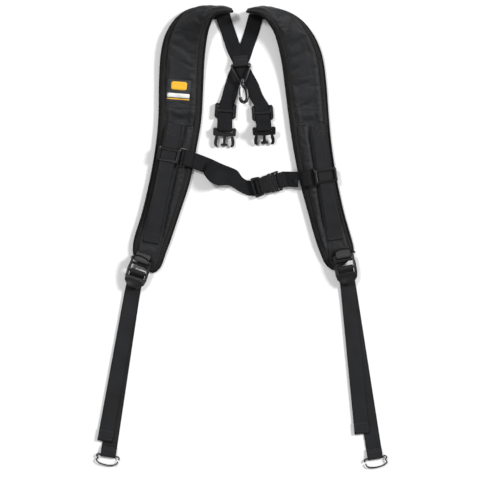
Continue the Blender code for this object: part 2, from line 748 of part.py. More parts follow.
def sternum_webbing_right():
    """Sewn loops round the male buckle's bar and the right slider's loop bar, and the run between them."""
    start, _ = sternum_frame()
    end = slider_loop_bar("right")
    slider_angle = rail_angle("right") + 180
    middle_angle = math.degrees(math.atan2(end.y - start.y, end.x - start.x))
    low, high = STERNUM_HEIGHT, loop_height()
    near = BUCKLE_ROD + GAP + WEB_THICK / 2 + 0.1
    stations = lay(start, STERNUM_TILT, [(12, low + 1.7), (7, low + near - 0.5)] + arc((0, low), near, 90, 270))
    stations += lay(start, STERNUM_TILT, [(6, low - 1.6), (12, low + 0.0)])
    stations += lay(start, middle_angle, [(22, low + 3.8), (30, low + 6.2)])
    stations += lay(end, slider_angle, [(9, high - LOOP_WRAP)])
    stations += lay(end, slider_angle, [(-s, z) for s, z in arc((0, high), LOOP_WRAP, -90, 90)])
    stations += lay(end, slider_angle, [(5, high + LOOP_WRAP - 0.4), (12, high - LOOP_WRAP + 3.0)])
    ribbon("sternum_webbing_right", stations)


def sternum_webbing_left():
    """From the left slider's loop bar to the female buckle's adjuster bar and back, with slack in the tail."""
    bar = slider_loop_bar("left")
    at, angle = sternum_frame()
    adjuster = at + heading(angle) * ADJUSTER_BAR
    halfway = (bar + adjuster) / 2
    bar_angle, middle_angle, buckle_angle = rail_angle("left"), -26.0, STERNUM_TILT
    high, low, run = loop_height(), STERNUM_HEIGHT, GAP + WEB_THICK / 2
    wrap = 1.7 + GAP + WEB_THICK / 2 + 0.1
    loop = [(13, high - LOOP_WRAP + 2.6), (6, high + LOOP_WRAP - 0.4)] + arc((0, high), LOOP_WRAP, 90, 270)
    stations = lay(bar, bar_angle, loop + [(9, high - LOOP_WRAP)])
    stations += lay(halfway, middle_angle, [(-22, 10.6), (-8, 7.4), (8, 4.0, 1.2), (20, 1.9, 2.6)])
    stations += lay(adjuster, buckle_angle - 12, [(-23, run, 2.4)])
    under = [(-12, run), (-4, run), (-1, run + 0.3), (1.4, run + 1.6)]
    over = arc((0, low), wrap, 0, 180)
    tail = [(-3.3, low - 1.7), (-4.9, run + 1.66), (-12, run + 1.65)]
    stations += lay(adjuster, buckle_angle, under + over + tail)
    stations += lay(adjuster, buckle_angle - 14, [(-24, run + 2.6, 2.4)])
    lobe = [(22, 5.0, 0.5), (13, 9.0, -3), (9.5, 15.0, -6.5), (5, 20.0, -9), (-4, 22.5, -10.5), (-13, 22.0, -9)]
    lobe += [(-20, 18.5, -5), (-25, 16.4, -1.5)]
    stations += lay(halfway, middle_angle, lobe)
    ribbon("sternum_webbing_left", stations)


# ---- Back: rear webbing, tri-glides and junction ----


def rear_strap(side):
    """One webbing from the pad's tip over the crossing and tri-glide, round the buckle bar and back under itself."""
    data = REAR_BUCKLES[side]
    bar = Vector(data["bar"])
    wrap = BUCKLE_ROD + GAP + REAR_THICK / 2 + 0.1
    route = smooth(REAR_ROUTES[side], 2)
    for point in route:
        point.z = max(point.z, GAP + REAR_THICK / 2)
    side_way = Vector((1, 0, 0))
    stations = [(p, side_way) for p in route]
    reach = bar - route[-1]
    turn = math.degrees(math.atan2(-reach.z, reach.y)) % 360
    spread = math.degrees(math.acos(wrap / math.hypot(reach.y, reach.z)))
    for s, z in arc((0, 0), wrap, turn - spread, turn + spread - 360):
        stations.append((bar - heading(data["angle"]) * s + Vector((0, 0, z)), across(data["angle"])))
    back = [p for p in reversed(route) if REAR_TAIL_TOP[side] > p.y > bar.y + 6]
    drop = Vector((0, 0, REAR_THICK + 0.35))
    stations += [(p - drop, side_way) for p in back]
    return ribbon(f"rear_strap_{side}", stations, width=REAR_WIDTH, thick=REAR_THICK)


def tri_glide(side):
    """A frame with two bars under the webbing and a raised bar over it."""
    x, y, angle = TRI_GLIDES[side]
    half_width, half_length, window = 17.2, 12.0, REAR_WIDTH / 2 + 2.4
    outline = [
        (-half_width, -half_length + 3), (-half_width + 2, -half_length), (half_width - 2, -half_length),
        (half_width, -half_length + 3), (half_width, half_length - 3), (half_width - 2, half_length),
        (-half_width + 2, half_length), (-half_width, half_length - 3),
    ]
    body = plate(outline, GAP, 7.8, f"tri_glide_{side}", "hardware_plastic")
    far = half_length + 1
    cut(
        body,
        box((-window, -far, 1.9), (window, far, 5.4)),
        box((-window, -far, 5), (window, -2.2, 9)),
        box((-window, 2.2, 5), (window, far, 9)),
        box((-window, -half_length + 3, -1), (window, half_length - 3, 3)),
    )
    return place(body, (x, y, 0), angle)


def junction_frame():
    return Vector((*JUNCTION, EYE_BAR_HEIGHT))


def junction_tab():
    """Webbing folded round the eye's bar, both ends sewn on the crossing rear straps."""
    wrap = EYE_WIRE + GAP + REAR_THICK / 2 + 0.1
    profile = [(15, 4.5)] + [(6, EYE_BAR_HEIGHT - wrap)]
    profile += [(-s, z) for s, z in arc((0, EYE_BAR_HEIGHT), wrap, -90, 90)]
    profile += [(5, EYE_BAR_HEIGHT + wrap - 1.0), (10.5, 6.4), (15, 6.1)]
    middle = Vector((*JUNCTION, 0))
    up = heading(JUNCTION_TURN)
    stations = [(middle + up * s + Vector((0, 0, z)), across(JUNCTION_TURN)) for s, z in profile]
    return ribbon("back_junction_tab", stations, width=WEB_WIDTH, thick=REAR_THICK)


def triangle_eye():
    """Triangular eye drawn about its bar, with a collar at its apex that the hook's stem turns in."""
    collar_top, collar_low = -EYE_LENGTH + 4.2, -EYE_LENGTH + 0.2
    route = [
        (-3.5, collar_low + 2.0), (-7.2, collar_top + 3), (-14.2, -4.5), (-EYE_HALF_WIDTH, -1.5), (-13.8, 0),
        (0, 0), (13.8, 0), (EYE_HALF_WIDTH, -1.5), (14.2, -4.5), (7.2, collar_top + 3), (3.5, collar_low + 2.0),
    ]
    body = tube([(x, y, 0) for x, y in route], EYE_WIRE, "triangle_eye", "hardware_plastic")
    join(body, rod((0, collar_low, 0), (0, collar_top, 0), 4.4, 16))
    cut(body, rod((0, collar_low - 2, 0), (0, collar_top + 2, 0), 2.3, 16))
    return place(body, junction_frame(), JUNCTION_TURN, EYE_PITCH)


def snap_hook():
    """Hook with a stem whose head is held by the eye's collar, drawn about the neck on the swivel axis."""
    spine = [
        (0, -1.4), (0.4, -3), (1.8, -6), (4.4, -9.4), (5.6, -13), (5.8, -19), (5.4, -25), (3.5, -29.6), (0, -31.4),
        (-3.4, -30), (-5.1, -26.4), (-5.4, -22.8),
    ]
    body = tube([(x, y, 0) for x, y in spine], 2.8, "snap_hook", "hardware_plastic")
    join(
        body,
        rod((0, -3.5, 0), (0, 6.0, 0), 1.9),
        rod((0, 4.6, 0), (0, 6.3, 0), 2.9),
        rod((0, -4.2, 0), (0, -0.3, 0), 3.2),
    )
    return place(body, neck_point(), JUNCTION_TURN, EYE_PITCH)


def neck_point():
    turn = Matrix.Rotation(math.radians(JUNCTION_TURN), 4, "Z") @ Matrix.Rotation(math.radians(EYE_PITCH), 4, "X")
    return junction_frame() + turn @ Vector((0, -EYE_LENGTH, 0))


def snap_hook_gate():
    """Springy leaf from beside the neck to the nose, drawn about its root."""
    root = Vector((-3.9, -5.6, 0))
    route = [(0, 0), (-1.3, -4), (-1.7, -9), (-1.6, -16.7)]
    body = tube([(x, y, 0) for x, y in route], 1.15, "snap_hook_gate", "hardware_plastic")
    turn = Matrix.Rotation(math.radians(JUNCTION_TURN), 4, "Z") @ Matrix.Rotation(math.radians(EYE_PITCH), 4, "X")
    return place(body, neck_point() + turn @ root, JUNCTION_TURN, EYE_PITCH)


def harness():
    for side in ("left", "right"):
        pad(side)
        rail_webbing(side)
        sternum_slider(side)
        ladder_lock(side)
        lock_anchor(side)
        lower_strap(side)
        wire_hook(side)
        rear_strap(side)
        tri_glide(side)
        rear_buckle(side)
    label_patch()
    sternum_male()
    sternum_female()
    sternum_webbing_left()
    sternum_webbing_right()
    junction_tab()
    triangle_eye()
    snap_hook()
    snap_hook_gate()
    bpy.context.view_layer.update()


harness()
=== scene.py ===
"""Looks of a padded shoulder harness for a tool belt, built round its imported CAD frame.

Lengths are in millimetres here and become metres when a mesh is made. X is to the right, Y towards
the shoulders and Z up from the surface that the harness lies on. U and V are in millimetres too.
"""

import json
from math import acos, atan2, ceil, copysign, cos, degrees, exp, hypot, pi, radians, sin, sqrt, tan

import bmesh
import bpy
from mathutils import Matrix, Vector
from mathutils.bvhtree import BVHTree
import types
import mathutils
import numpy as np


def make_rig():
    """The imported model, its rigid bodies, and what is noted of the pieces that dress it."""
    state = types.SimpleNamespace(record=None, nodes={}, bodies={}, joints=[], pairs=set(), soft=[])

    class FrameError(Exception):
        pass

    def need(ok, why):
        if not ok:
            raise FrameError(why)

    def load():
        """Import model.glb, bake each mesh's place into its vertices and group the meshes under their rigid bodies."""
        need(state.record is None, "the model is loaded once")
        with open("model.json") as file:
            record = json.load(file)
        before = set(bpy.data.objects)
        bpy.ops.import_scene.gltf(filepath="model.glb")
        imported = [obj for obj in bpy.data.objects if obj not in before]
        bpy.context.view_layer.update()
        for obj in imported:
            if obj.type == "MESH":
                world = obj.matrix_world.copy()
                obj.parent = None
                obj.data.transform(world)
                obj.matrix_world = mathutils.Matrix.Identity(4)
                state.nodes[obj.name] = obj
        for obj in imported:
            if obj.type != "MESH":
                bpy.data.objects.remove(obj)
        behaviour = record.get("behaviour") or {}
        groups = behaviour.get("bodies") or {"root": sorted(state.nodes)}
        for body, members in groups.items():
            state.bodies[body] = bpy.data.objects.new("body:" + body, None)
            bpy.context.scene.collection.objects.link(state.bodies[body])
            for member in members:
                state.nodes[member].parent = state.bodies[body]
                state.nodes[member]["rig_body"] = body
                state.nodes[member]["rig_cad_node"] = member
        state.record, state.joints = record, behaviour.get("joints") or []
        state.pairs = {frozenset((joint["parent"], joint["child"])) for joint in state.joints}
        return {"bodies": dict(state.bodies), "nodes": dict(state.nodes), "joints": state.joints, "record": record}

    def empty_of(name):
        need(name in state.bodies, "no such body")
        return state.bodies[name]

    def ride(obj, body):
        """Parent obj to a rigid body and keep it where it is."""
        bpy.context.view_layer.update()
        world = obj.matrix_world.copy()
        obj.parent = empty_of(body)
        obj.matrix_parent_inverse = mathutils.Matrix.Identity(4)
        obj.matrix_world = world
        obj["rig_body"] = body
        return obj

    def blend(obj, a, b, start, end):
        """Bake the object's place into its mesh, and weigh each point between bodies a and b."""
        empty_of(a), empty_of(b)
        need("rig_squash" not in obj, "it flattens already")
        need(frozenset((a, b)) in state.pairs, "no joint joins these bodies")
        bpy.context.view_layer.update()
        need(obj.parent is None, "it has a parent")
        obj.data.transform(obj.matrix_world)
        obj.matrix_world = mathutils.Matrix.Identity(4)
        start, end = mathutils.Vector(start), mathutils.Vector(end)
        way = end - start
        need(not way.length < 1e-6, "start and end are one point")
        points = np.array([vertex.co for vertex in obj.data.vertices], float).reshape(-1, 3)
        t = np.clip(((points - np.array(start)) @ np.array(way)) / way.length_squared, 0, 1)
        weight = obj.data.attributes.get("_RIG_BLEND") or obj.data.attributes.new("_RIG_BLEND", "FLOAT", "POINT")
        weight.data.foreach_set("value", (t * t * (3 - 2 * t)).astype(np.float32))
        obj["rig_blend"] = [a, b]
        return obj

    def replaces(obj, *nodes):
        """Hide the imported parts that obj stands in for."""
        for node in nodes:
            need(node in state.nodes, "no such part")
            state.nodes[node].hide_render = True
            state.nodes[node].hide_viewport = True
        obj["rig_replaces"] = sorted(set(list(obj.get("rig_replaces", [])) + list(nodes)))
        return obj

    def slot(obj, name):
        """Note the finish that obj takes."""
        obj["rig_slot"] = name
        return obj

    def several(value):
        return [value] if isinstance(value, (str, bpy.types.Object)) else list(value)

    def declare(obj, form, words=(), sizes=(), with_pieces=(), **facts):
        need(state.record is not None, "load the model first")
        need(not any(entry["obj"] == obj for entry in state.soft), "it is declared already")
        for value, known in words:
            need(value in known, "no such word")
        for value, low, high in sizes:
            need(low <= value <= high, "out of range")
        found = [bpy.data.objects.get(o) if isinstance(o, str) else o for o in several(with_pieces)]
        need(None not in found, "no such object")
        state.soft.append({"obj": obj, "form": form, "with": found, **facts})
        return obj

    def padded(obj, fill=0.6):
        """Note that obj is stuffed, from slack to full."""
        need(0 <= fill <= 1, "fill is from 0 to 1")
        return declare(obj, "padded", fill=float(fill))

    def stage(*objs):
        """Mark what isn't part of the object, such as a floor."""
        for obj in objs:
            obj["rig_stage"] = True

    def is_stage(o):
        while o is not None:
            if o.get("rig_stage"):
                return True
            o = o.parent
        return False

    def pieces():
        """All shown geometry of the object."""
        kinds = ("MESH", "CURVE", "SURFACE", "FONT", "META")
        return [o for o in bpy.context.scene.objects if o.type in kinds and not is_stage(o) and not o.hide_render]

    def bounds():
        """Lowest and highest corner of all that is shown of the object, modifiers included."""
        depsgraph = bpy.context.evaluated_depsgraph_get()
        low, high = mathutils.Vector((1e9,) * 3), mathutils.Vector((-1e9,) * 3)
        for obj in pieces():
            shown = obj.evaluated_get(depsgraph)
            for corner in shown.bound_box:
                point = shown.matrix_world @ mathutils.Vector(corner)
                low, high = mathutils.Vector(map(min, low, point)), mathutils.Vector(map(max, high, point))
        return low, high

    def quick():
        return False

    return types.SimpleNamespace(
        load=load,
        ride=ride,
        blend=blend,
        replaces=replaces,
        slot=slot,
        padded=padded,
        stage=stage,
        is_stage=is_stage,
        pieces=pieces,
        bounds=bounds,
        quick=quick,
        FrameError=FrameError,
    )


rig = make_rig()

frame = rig.load()
cad_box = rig.bounds()

MM = 0.001
GAP = 0.3
UP = Vector((0, 0, 1))
OVER_ALL = 60.0
CORNER = radians(38)
SIDE_NAMES = ("left", "right")

# Webbing
WEB_WIDTH = 25.0
WEB_THICK = 1.3
REAR_WIDTH = 24.2
REAR_THICK = 1.2
WEB_LIFT = GAP + WEB_THICK / 2
REAR_LIFT = GAP + REAR_THICK / 2
WRAP_STEPS = 10
LONGEST_STEP = 5.0
EASE_ROUNDS = 3
EASED_OVER = 1.6

# Pad heights over its underside, and the most that its cover may move or rise when it is inflated
BACK_TOP = 1.2
RIM_HEIGHT = 5.0
COVER_TOP = 10.3
FRONT_TOP = 12.6
PUFF_FRAMES = 20
PUFF_MOST = 2.2
PUFF_TOP = 12.7
UNDER_RAIL_TOP = 10.4
ROW_PITCH = 3.0
RIM_INSET = 1.9
TAPE_HALF = (1.9, 2.7)

# Places across the lower pad from the rail webbing's middle: the valley beside it, and the pad's inner edge there
VALLEY = 15.6
INNER_EDGE = 27.5

# Rail and sternum slider
RAIL_LOW = 13.1
LOOP_HEIGHT = 14.8
LOOP_REACH = 27.1
LOOP_WRAP = 3.1

# Ladder lock
LOCK_ROD = 2.2
LOCK_END_ROD = 1.9
LOCK_WINDOW = 14.4
LOCK_PITCH = 9.0
LOCK_BAR_HEIGHT = 15.0
LOCK_BAR_SPACING = 20.0

# Where a lower strap starts turning to its own direction, over what length and in what steps
TURN_FROM = 8.0
TURN_LENGTH = 40.0
TURN_STRIDE = 2.0

# Wire hook and buckles
WIRE = 1.1
HOOK_HEIGHT = 3.1
BUCKLE_ROD = 1.8
ADJUSTER_ROD = 1.7
STERNUM_TILT = 16.0
STERNUM_HEIGHT = 5.2
STERNUM_MALE_BAR = (57.3, 89.8)
ADJUSTER_BAR = -35.0

# Back junction
JUNCTION = (-3.5, 275.2)
JUNCTION_TURN = 5.0
EYE_WIRE = 1.6
EYE_BAR_HEIGHT = 7.0

# Heights of each pad's outer and inner edge, from its lower end to its tip, and the share of the full thickness
PAD_LIFTS = [
    (0, 0, 0.55), (0, 0, 0.72), (0, 0, 0.95), (0, 0, 1), (0, 0, 1), (0, 0, 1), (0, 0, 1), (0, 0, 1),
    (0, 0.5, 1), (1.5, 5, 1), (2.6, 13, 1), (2.8, 25, 1), (2.8, 33, 0.95), (2.8, 36, 0.9), (3.2, 35, 0.85),
    (5, 31, 0.75), (8, 26, 0.6),
]

# Plan places of its outer and inner edge there
PAD_EDGES = {
    "left": [
        (-165.5, -42, -142, -58.5), (-174, -31, -131, -48), (-176.5, -22, -123.5, -27), (-174, -1, -115, -4),
        (-162, 37, -101, 38), (-149.5, 90, -85, 87), (-140, 144, -74.5, 140), (-135.5, 190, -66.5, 187),
        (-134.5, 243, -63.5, 238), (-132, 288, -61, 283), (-125, 320, -55.5, 323), (-112, 342, -48, 343),
        (-94, 356, -42, 349.5), (-70, 362.5, -33, 352), (-46, 363, -25, 353), (-30, 362, -19, 354),
        (-19.5, 359.5, -16.5, 355),
    ],
    "right": [
        (167, -38, 144, -54), (175, -29, 131, -43), (177.5, -20, 122.5, -23), (173, -1, 115, -2),
        (162, 37, 104, 38), (150.5, 90, 91, 87), (142, 144, 80.5, 140), (137.5, 190, 73.5, 187),
        (133.5, 243, 67, 238), (127, 288, 60.5, 283), (114, 320, 50.5, 321), (98, 340, 41, 336.5),
        (80, 351.5, 32, 345), (60, 358.5, 24, 350), (38, 362, 15, 352.5), (22, 361.5, 9, 353.5),
        (9, 359, 5.5, 354.5),
    ],
}

SIDES = {
    "left": {
        "turn": 1, "rail_top": (-108.8, 179.2), "rail_bottom": (-147.5, -9.6), "slider_drop": 49.0,
        "lock_bar": (-161.6, -37.6), "lock_angle": -19.0, "load_angle": -8.5, "tail_angle": -10.4,
        "load_length": 297.0, "tail_length": 274.0,
        "anchor_tab": [(-67, 366.5), (-33.5, 366.5), (-33.5, 348), (-67, 348)],
        "fold_lines": (210.5, 205.5, 180.5), "fold_tilt": -4.0, "fold_sink": 3.2,
        "end_lip": [(-179, -33.5), (-174, -30), (-166.4, -29.6), (-159.1, -32.3), (-151.8, -37), (-146.5, -43.5)],
    },
    "right": {
        "turn": -1, "rail_top": (119.2, 179.2), "rail_bottom": (148.0, -4.8), "slider_drop": 82.5,
        "lock_bar": (160.0, -29.9), "lock_angle": 10.0, "load_angle": 8.9, "tail_angle": 5.5,
        "load_length": 307.0, "tail_length": 265.0,
        "anchor_tab": [(24, 366), (29, 368), (56, 364), (56, 348), (24, 348)],
        "fold_lines": (207.5, 203.5, 181.0), "fold_tilt": 3.0, "fold_sink": 1.0,
        "end_lip": [(178.5, -24.5), (172, -20), (163, -18.8), (154.5, -20.5), (147, -24.5), (141.5, -31)],
    },
}

REAR_ROUTES = {
    "left": [
        (-34, 356.4, 13), (-33.4, 357.8, 8), (-32.8, 357.2, 4.4), (-32, 354, 2.7), (-30.3, 347, 2.5),
        (-21.6, 322, 0.9), (-18.4, 312, 2.5), (-13, 296, 2.6), (-6.5, 283, 2.6), (-2.4, 273.6, 2.6),
        (5.6, 258, 2.6), (12.8, 244.8, 2.8), (19.2, 227, 3.4), (25.6, 217.2, 4.4), (29.6, 210.5, 4.4),
        (31.2, 198.4, 4.4), (32.2, 189, 4.6),
    ],
    "right": [
        (23.5, 354.4, 13), (23, 356.6, 8), (22, 356.6, 4.4), (20.8, 354, 2.7), (18.6, 346, 2.5),
        (12, 322, 0.9), (4.8, 302, 0.9), (0.5, 288, 0.9), (-5.6, 273.6, 0.9), (-11.2, 262.4, 0.9),
        (-14.6, 250, 0.9), (-17, 243, 1.9), (-19.3, 235, 3.3), (-21.9, 224, 4.4), (-25.6, 214.4, 4.4),
        (-28, 201.6, 4.4), (-29.1, 188, 4.5),
    ],
}
REAR_TAIL_TOP = {"left": 249.0, "right": 234.0}
TRI_GLIDES = {"left": (31.2, 198.4, 4.0), "right": (-28.0, 201.6, -4.0)}
REAR_BUCKLES = {
    "left": {"bar": (33.5, 172.0, 17.5), "pitch": 30.0, "angle": 2.0},
    "right": {"bar": (-29.3, 171.2, 8.2), "pitch": 9.0, "angle": -2.0},
}

scene = bpy.context.scene


def put(thing, **values):
    for key, value in values.items():
        setattr(thing, key, value)
    return thing


# ---- Materials ----


class Finish:
    """A node material round one Principled shader; plain numbers go straight on the shader's own sockets."""

    def __init__(self, name, **sockets):
        self.made = bpy.data.materials.new(name)
        self.made.use_nodes = True
        self.tree = self.made.node_tree
        self.shader = self.tree.nodes["Principled BSDF"]
        for socket, value in sockets.items():
            self.shader.inputs[socket.replace("_", " ")].default_value = value

    def node(self, kind, **inputs):
        made = self.tree.nodes.new("ShaderNode" + kind)
        for key, value in inputs.items():
            self.feed(made.inputs[key.replace("_", " ")], value)
        return made

    def feed(self, socket, value):
        if isinstance(value, bpy.types.NodeSocket):
            self.tree.links.new(value, socket)
        else:
            socket.default_value = value

    def math(self, operation, *values):
        made = put(self.node("Math"), operation=operation)
        for socket, value in zip(made.inputs, values):
            self.feed(socket, value)
        return made.outputs[0]

    def uv(self):
        split = self.node("SeparateXYZ", Vector=self.node("UVMap").outputs[0])
        return split.outputs[0], split.outputs[1]

    def cloud(self, scale, detail=3.0):
        """Soft noise in the object's own space."""
        where = self.node("TexCoord").outputs["Object"]
        return self.node("TexNoise", Vector=where, Scale=scale, Detail=detail).outputs["Fac"]

    def spread(self, value, low, high, start=0.0, end=1.0):
        return self.node("MapRange", Value=value, From_Min=start, From_Max=end, To_Min=low, To_Max=high).outputs[0]

    def tint(self, factor, dark, light):
        """Base colour between two colours."""
        made = put(self.node("Mix"), data_type="RGBA")
        for index, value in ((0, factor), (6, (*dark, 1.0)), (7, (*light, 1.0))):
            self.feed(made.inputs[index], value)
        self.feed(self.shader.inputs["Base Color"], made.outputs[2])

    def rough(self, factor, low, high):
        self.feed(self.shader.inputs["Roughness"], self.spread(factor, low, high))

    def bump(self, height, distance, strength, under=None):
        more = {"Normal": under} if under else {}
        made = self.node("Bump", Height=height, Distance=distance, Strength=strength, **more).outputs[0]
        self.feed(self.shader.inputs["Normal"], made)
        return made

    def ridges(self, value, pitch):
        return self.math("ABSOLUTE", self.math("SINE", self.math("MULTIPLY", value, pi / pitch)))

    def mottled(self, value, scale, *spread):
        """The value, varied by soft noise."""
        return self.math("MULTIPLY", value, self.spread(self.cloud(scale), *spread))

    def woven(self, pitch_u, pitch_v, offset=0.5):
        """Height of yarns that pass over and under each other, one row set off from the next."""
        u, v = self.uv()
        column = self.math("FLOOR", self.math("DIVIDE", u, pitch_u))
        weft = self.ridges(self.math("MULTIPLY_ADD", column, pitch_v * offset, v), pitch_v)
        return self.math("SQRT", self.math("MULTIPLY", self.ridges(u, pitch_u), weft))


def webbing_finish(name, dark, light, sheen, pitch=(1.15, 1.3)):
    """Woven webbing whose selvedges stand up a little and are darker."""
    made = Finish(name, Sheen_Weight=sheen, Sheen_Roughness=0.5, Specular_IOR_Level=0.12)
    yarn = made.woven(*pitch)
    u, _ = made.uv()
    edge = made.spread(made.math("ABSOLUTE", u), 0.0, 1.0, 10.3, 11.6)
    # Painted shade: the colour follows the yarns' height, so the grooves between the yarns are darker.
    shade = made.mottled(yarn, 28.0, 0.75, 1.25, 0.3, 0.7)
    made.tint(made.math("SUBTRACT", shade, made.math("MULTIPLY", edge, 0.45)), dark, light)
    made.rough(made.cloud(60.0), 0.5, 0.72)
    soft = made.bump(made.cloud(90.0), 0.0006, 0.5)
    made.bump(made.math("ADD", yarn, made.math("MULTIPLY", edge, 0.6)), 0.00035, 0.8, soft)
    return made.made


def satin_finish():
    """Tightly woven cover cloth with a soft shine and small puckers."""
    made = Finish("cover_satin", Sheen_Weight=0.03, Sheen_Roughness=0.35, Specular_IOR_Level=0.17)
    yarn = made.woven(0.55, 0.7)
    patches = made.cloud(14.0, 4.0)
    # Painted shade: the colour follows the yarns' height, so the weave's grooves are darker; the patches are random
    # tone.
    made.tint(
        made.math("MULTIPLY", made.spread(yarn, 0.6, 1.0), made.spread(patches, 0.6, 1.15, 0.3, 0.7)),
        (0.004, 0.004, 0.0045), (0.0165, 0.017, 0.0185),
    )
    made.rough(patches, 0.42, 0.54)
    soft = made.bump(made.cloud(75.0, 2.0), 0.0012, 0.28)
    made.bump(yarn, 0.00012, 0.6, soft)
    return made.made


def holes(made):
    """Solid between offset rows of small round holes, as knitted spacer mesh is."""
    u, v = made.uv()
    across_pitch, along_pitch = 3.4, 3.0
    row = made.math("DIVIDE", v, along_pitch)
    half = made.math("MULTIPLY", made.math("MODULO", made.math("FLOOR", row), 2.0), 0.5)
    column = made.math("ADD", made.math("DIVIDE", u, across_pitch), half)
    x, y = (made.math("SUBTRACT", made.math("FRACT", value), 0.5) for value in (column, row))
    away = made.math("SQRT", made.math("MULTIPLY_ADD", x, x, made.math("MULTIPLY", y, y)))
    return made.spread(away, 0.0, 1.0, 0.18, 0.36)


def yarn_finish(name, pattern, colours, mottle, rough, relief, fuzz=0.0, **sockets):
    """A finish whose pattern is both its relief and, mottled, its colour, so that the pattern's low places are darker
    as painted shade; fuzz is the height of fine noise under it.
    """
    made = Finish(name, **sockets)
    height = pattern(made)
    # Painted shade: the pattern's low places, the grooves between ribs and yarns and the mesh's holes, are tinted
    # darker.
    made.tint(made.mottled(height, *mottle), *colours)
    made.rough(made.cloud(rough[0]), *rough[1:])
    under = made.bump(made.cloud(900.0, 2.0), fuzz, 0.5) if fuzz else None
    made.bump(height, *relief, under)
    return made.made


def spacer_mesh_finish(name, *colours):
    sockets = {"Sheen_Weight": 0.04, "Sheen_Roughness": 0.6, "Specular_IOR_Level": 0.12}
    # Painted shade: the holes in the mesh are tinted dark.
    mottle, rough = (40.0, 0.7, 1.2, 0.3, 0.7), (60.0, 0.68, 0.85)
    return yarn_finish(name, holes, colours, mottle, rough, (0.0006, 0.9), 0.0003, **sockets)


def ribbed_finish(name, pitch, colours, *shape, **sockets):
    """Ribbed tape, or twisted thread."""
    return yarn_finish(name, lambda made: made.ridges(made.uv()[1], pitch), colours, *shape, **sockets)


def label_finish(name, *colours):
    """Satin-stitched or woven label yarn."""
    shape = (120.0, 0.85, 1.1), (90.0, 0.45, 0.65), (0.0002, 0.5)
    sockets = {"Sheen_Weight": 0.2, "Specular_IOR_Level": 0.4}
    return yarn_finish(name, lambda made: made.woven(0.45, 1.6, 0.37), colours, *shape, **sockets)


def plastic_finish(name, base, worn, roughness):
    """Moulded acetal: a faint grain from the tool, and edges rubbed a little paler."""
    made = Finish(name, Specular_IOR_Level=0.3, Coat_Weight=0.06, Coat_Roughness=0.25)
    edge = made.spread(made.node("NewGeometry").outputs["Pointiness"], 0.0, 1.0, 0.52, 0.6)
    made.tint(made.mottled(edge, 400.0, 0.2, 1.0, 0.4, 0.65), base, worn)
    made.rough(made.cloud(220.0), *roughness)
    soft = made.bump(made.cloud(160.0, 2.0), 0.0003, 0.06)
    made.bump(made.cloud(2600.0, 2.0), 0.00002, 0.1, soft)
    return made.made


WEBBING = webbing_finish("strap_webbing", (0.005, 0.005, 0.0055), (0.023, 0.0235, 0.0255), 0.03)
# Painted shade: the same webbing as the straps, made darker where it lies in shade or turns away from the light, on
# the rear straps, sternum straps and tip tabs.
PAINTED_SHADE_WEBBING = webbing_finish("rear_webbing", (0.003, 0.003, 0.0035), (0.0125, 0.013, 0.0145), 0.02)
RIBBED_WEBBING = webbing_finish("ribbed_webbing", (0.004, 0.004, 0.004), (0.066, 0.066, 0.067), 0.04, (3.0, 3.6))
SATIN = satin_finish()
BORDER_MESH = spacer_mesh_finish("border_mesh", (0.0008, 0.0008, 0.0008), (0.019, 0.0185, 0.0178))
BACK_MESH = spacer_mesh_finish("back_spacer_mesh", (0.001, 0.001, 0.001), (0.026, 0.026, 0.028))
TAPE = ribbed_finish(
    "binding_tape", 0.9, ((0.002, 0.002, 0.0025), (0.011, 0.011, 0.012)), (40.0, 0.0, 1.0), (60.0, 0.55, 0.75),
    (0.0002, 0.7), Sheen_Weight=0.02, Specular_IOR_Level=0.12,
)
THREAD = ribbed_finish(
    "black_thread", 0.5, ((0.004, 0.004, 0.005), (0.022, 0.022, 0.026)), (60.0, 0.7, 1.1), (90.0, 0.4, 0.6),
    (0.0001, 0.6), Sheen_Weight=0.2, Specular_IOR_Level=0.5,
)
PLASTIC = plastic_finish("moulded_plastic", (0.0035, 0.0035, 0.004), (0.03, 0.03, 0.032), (0.28, 0.4))
WIRE_COAT = plastic_finish("coated_wire", (0.010, 0.010, 0.011), (0.09, 0.09, 0.09), (0.18, 0.3))
LABEL_BASE = label_finish("label_ground", (0.006, 0.006, 0.009), (0.018, 0.019, 0.026))
LABEL_AMBER = label_finish("label_amber", (0.55, 0.26, 0.004), (0.98, 0.56, 0.02))
LABEL_PALE = label_finish("label_pale", (0.52, 0.52, 0.50), (0.93, 0.93, 0.90))


# ---- Mesh helpers ----


def link(name, mesh, *finishes):
    for finish in finishes:
        mesh.materials.append(finish)
    made = bpy.data.objects.new(name, mesh)
    scene.collection.objects.link(made)
    return made


def dress(piece, slot, *nodes, body="harness"):
    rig.ride(piece, body)
    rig.slot(piece, slot)
    if nodes:
        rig.replaces(piece, *nodes)
    return piece


def mesh_of(bm, name, outward=True):
    """The finished mesh, its faces turned outward where they may not be."""
    if outward:
        bmesh.ops.recalc_face_normals(bm, faces=bm.faces)
    mesh = bpy.data.meshes.new(name)
    bm.to_mesh(mesh)
    bm.free()
    return mesh


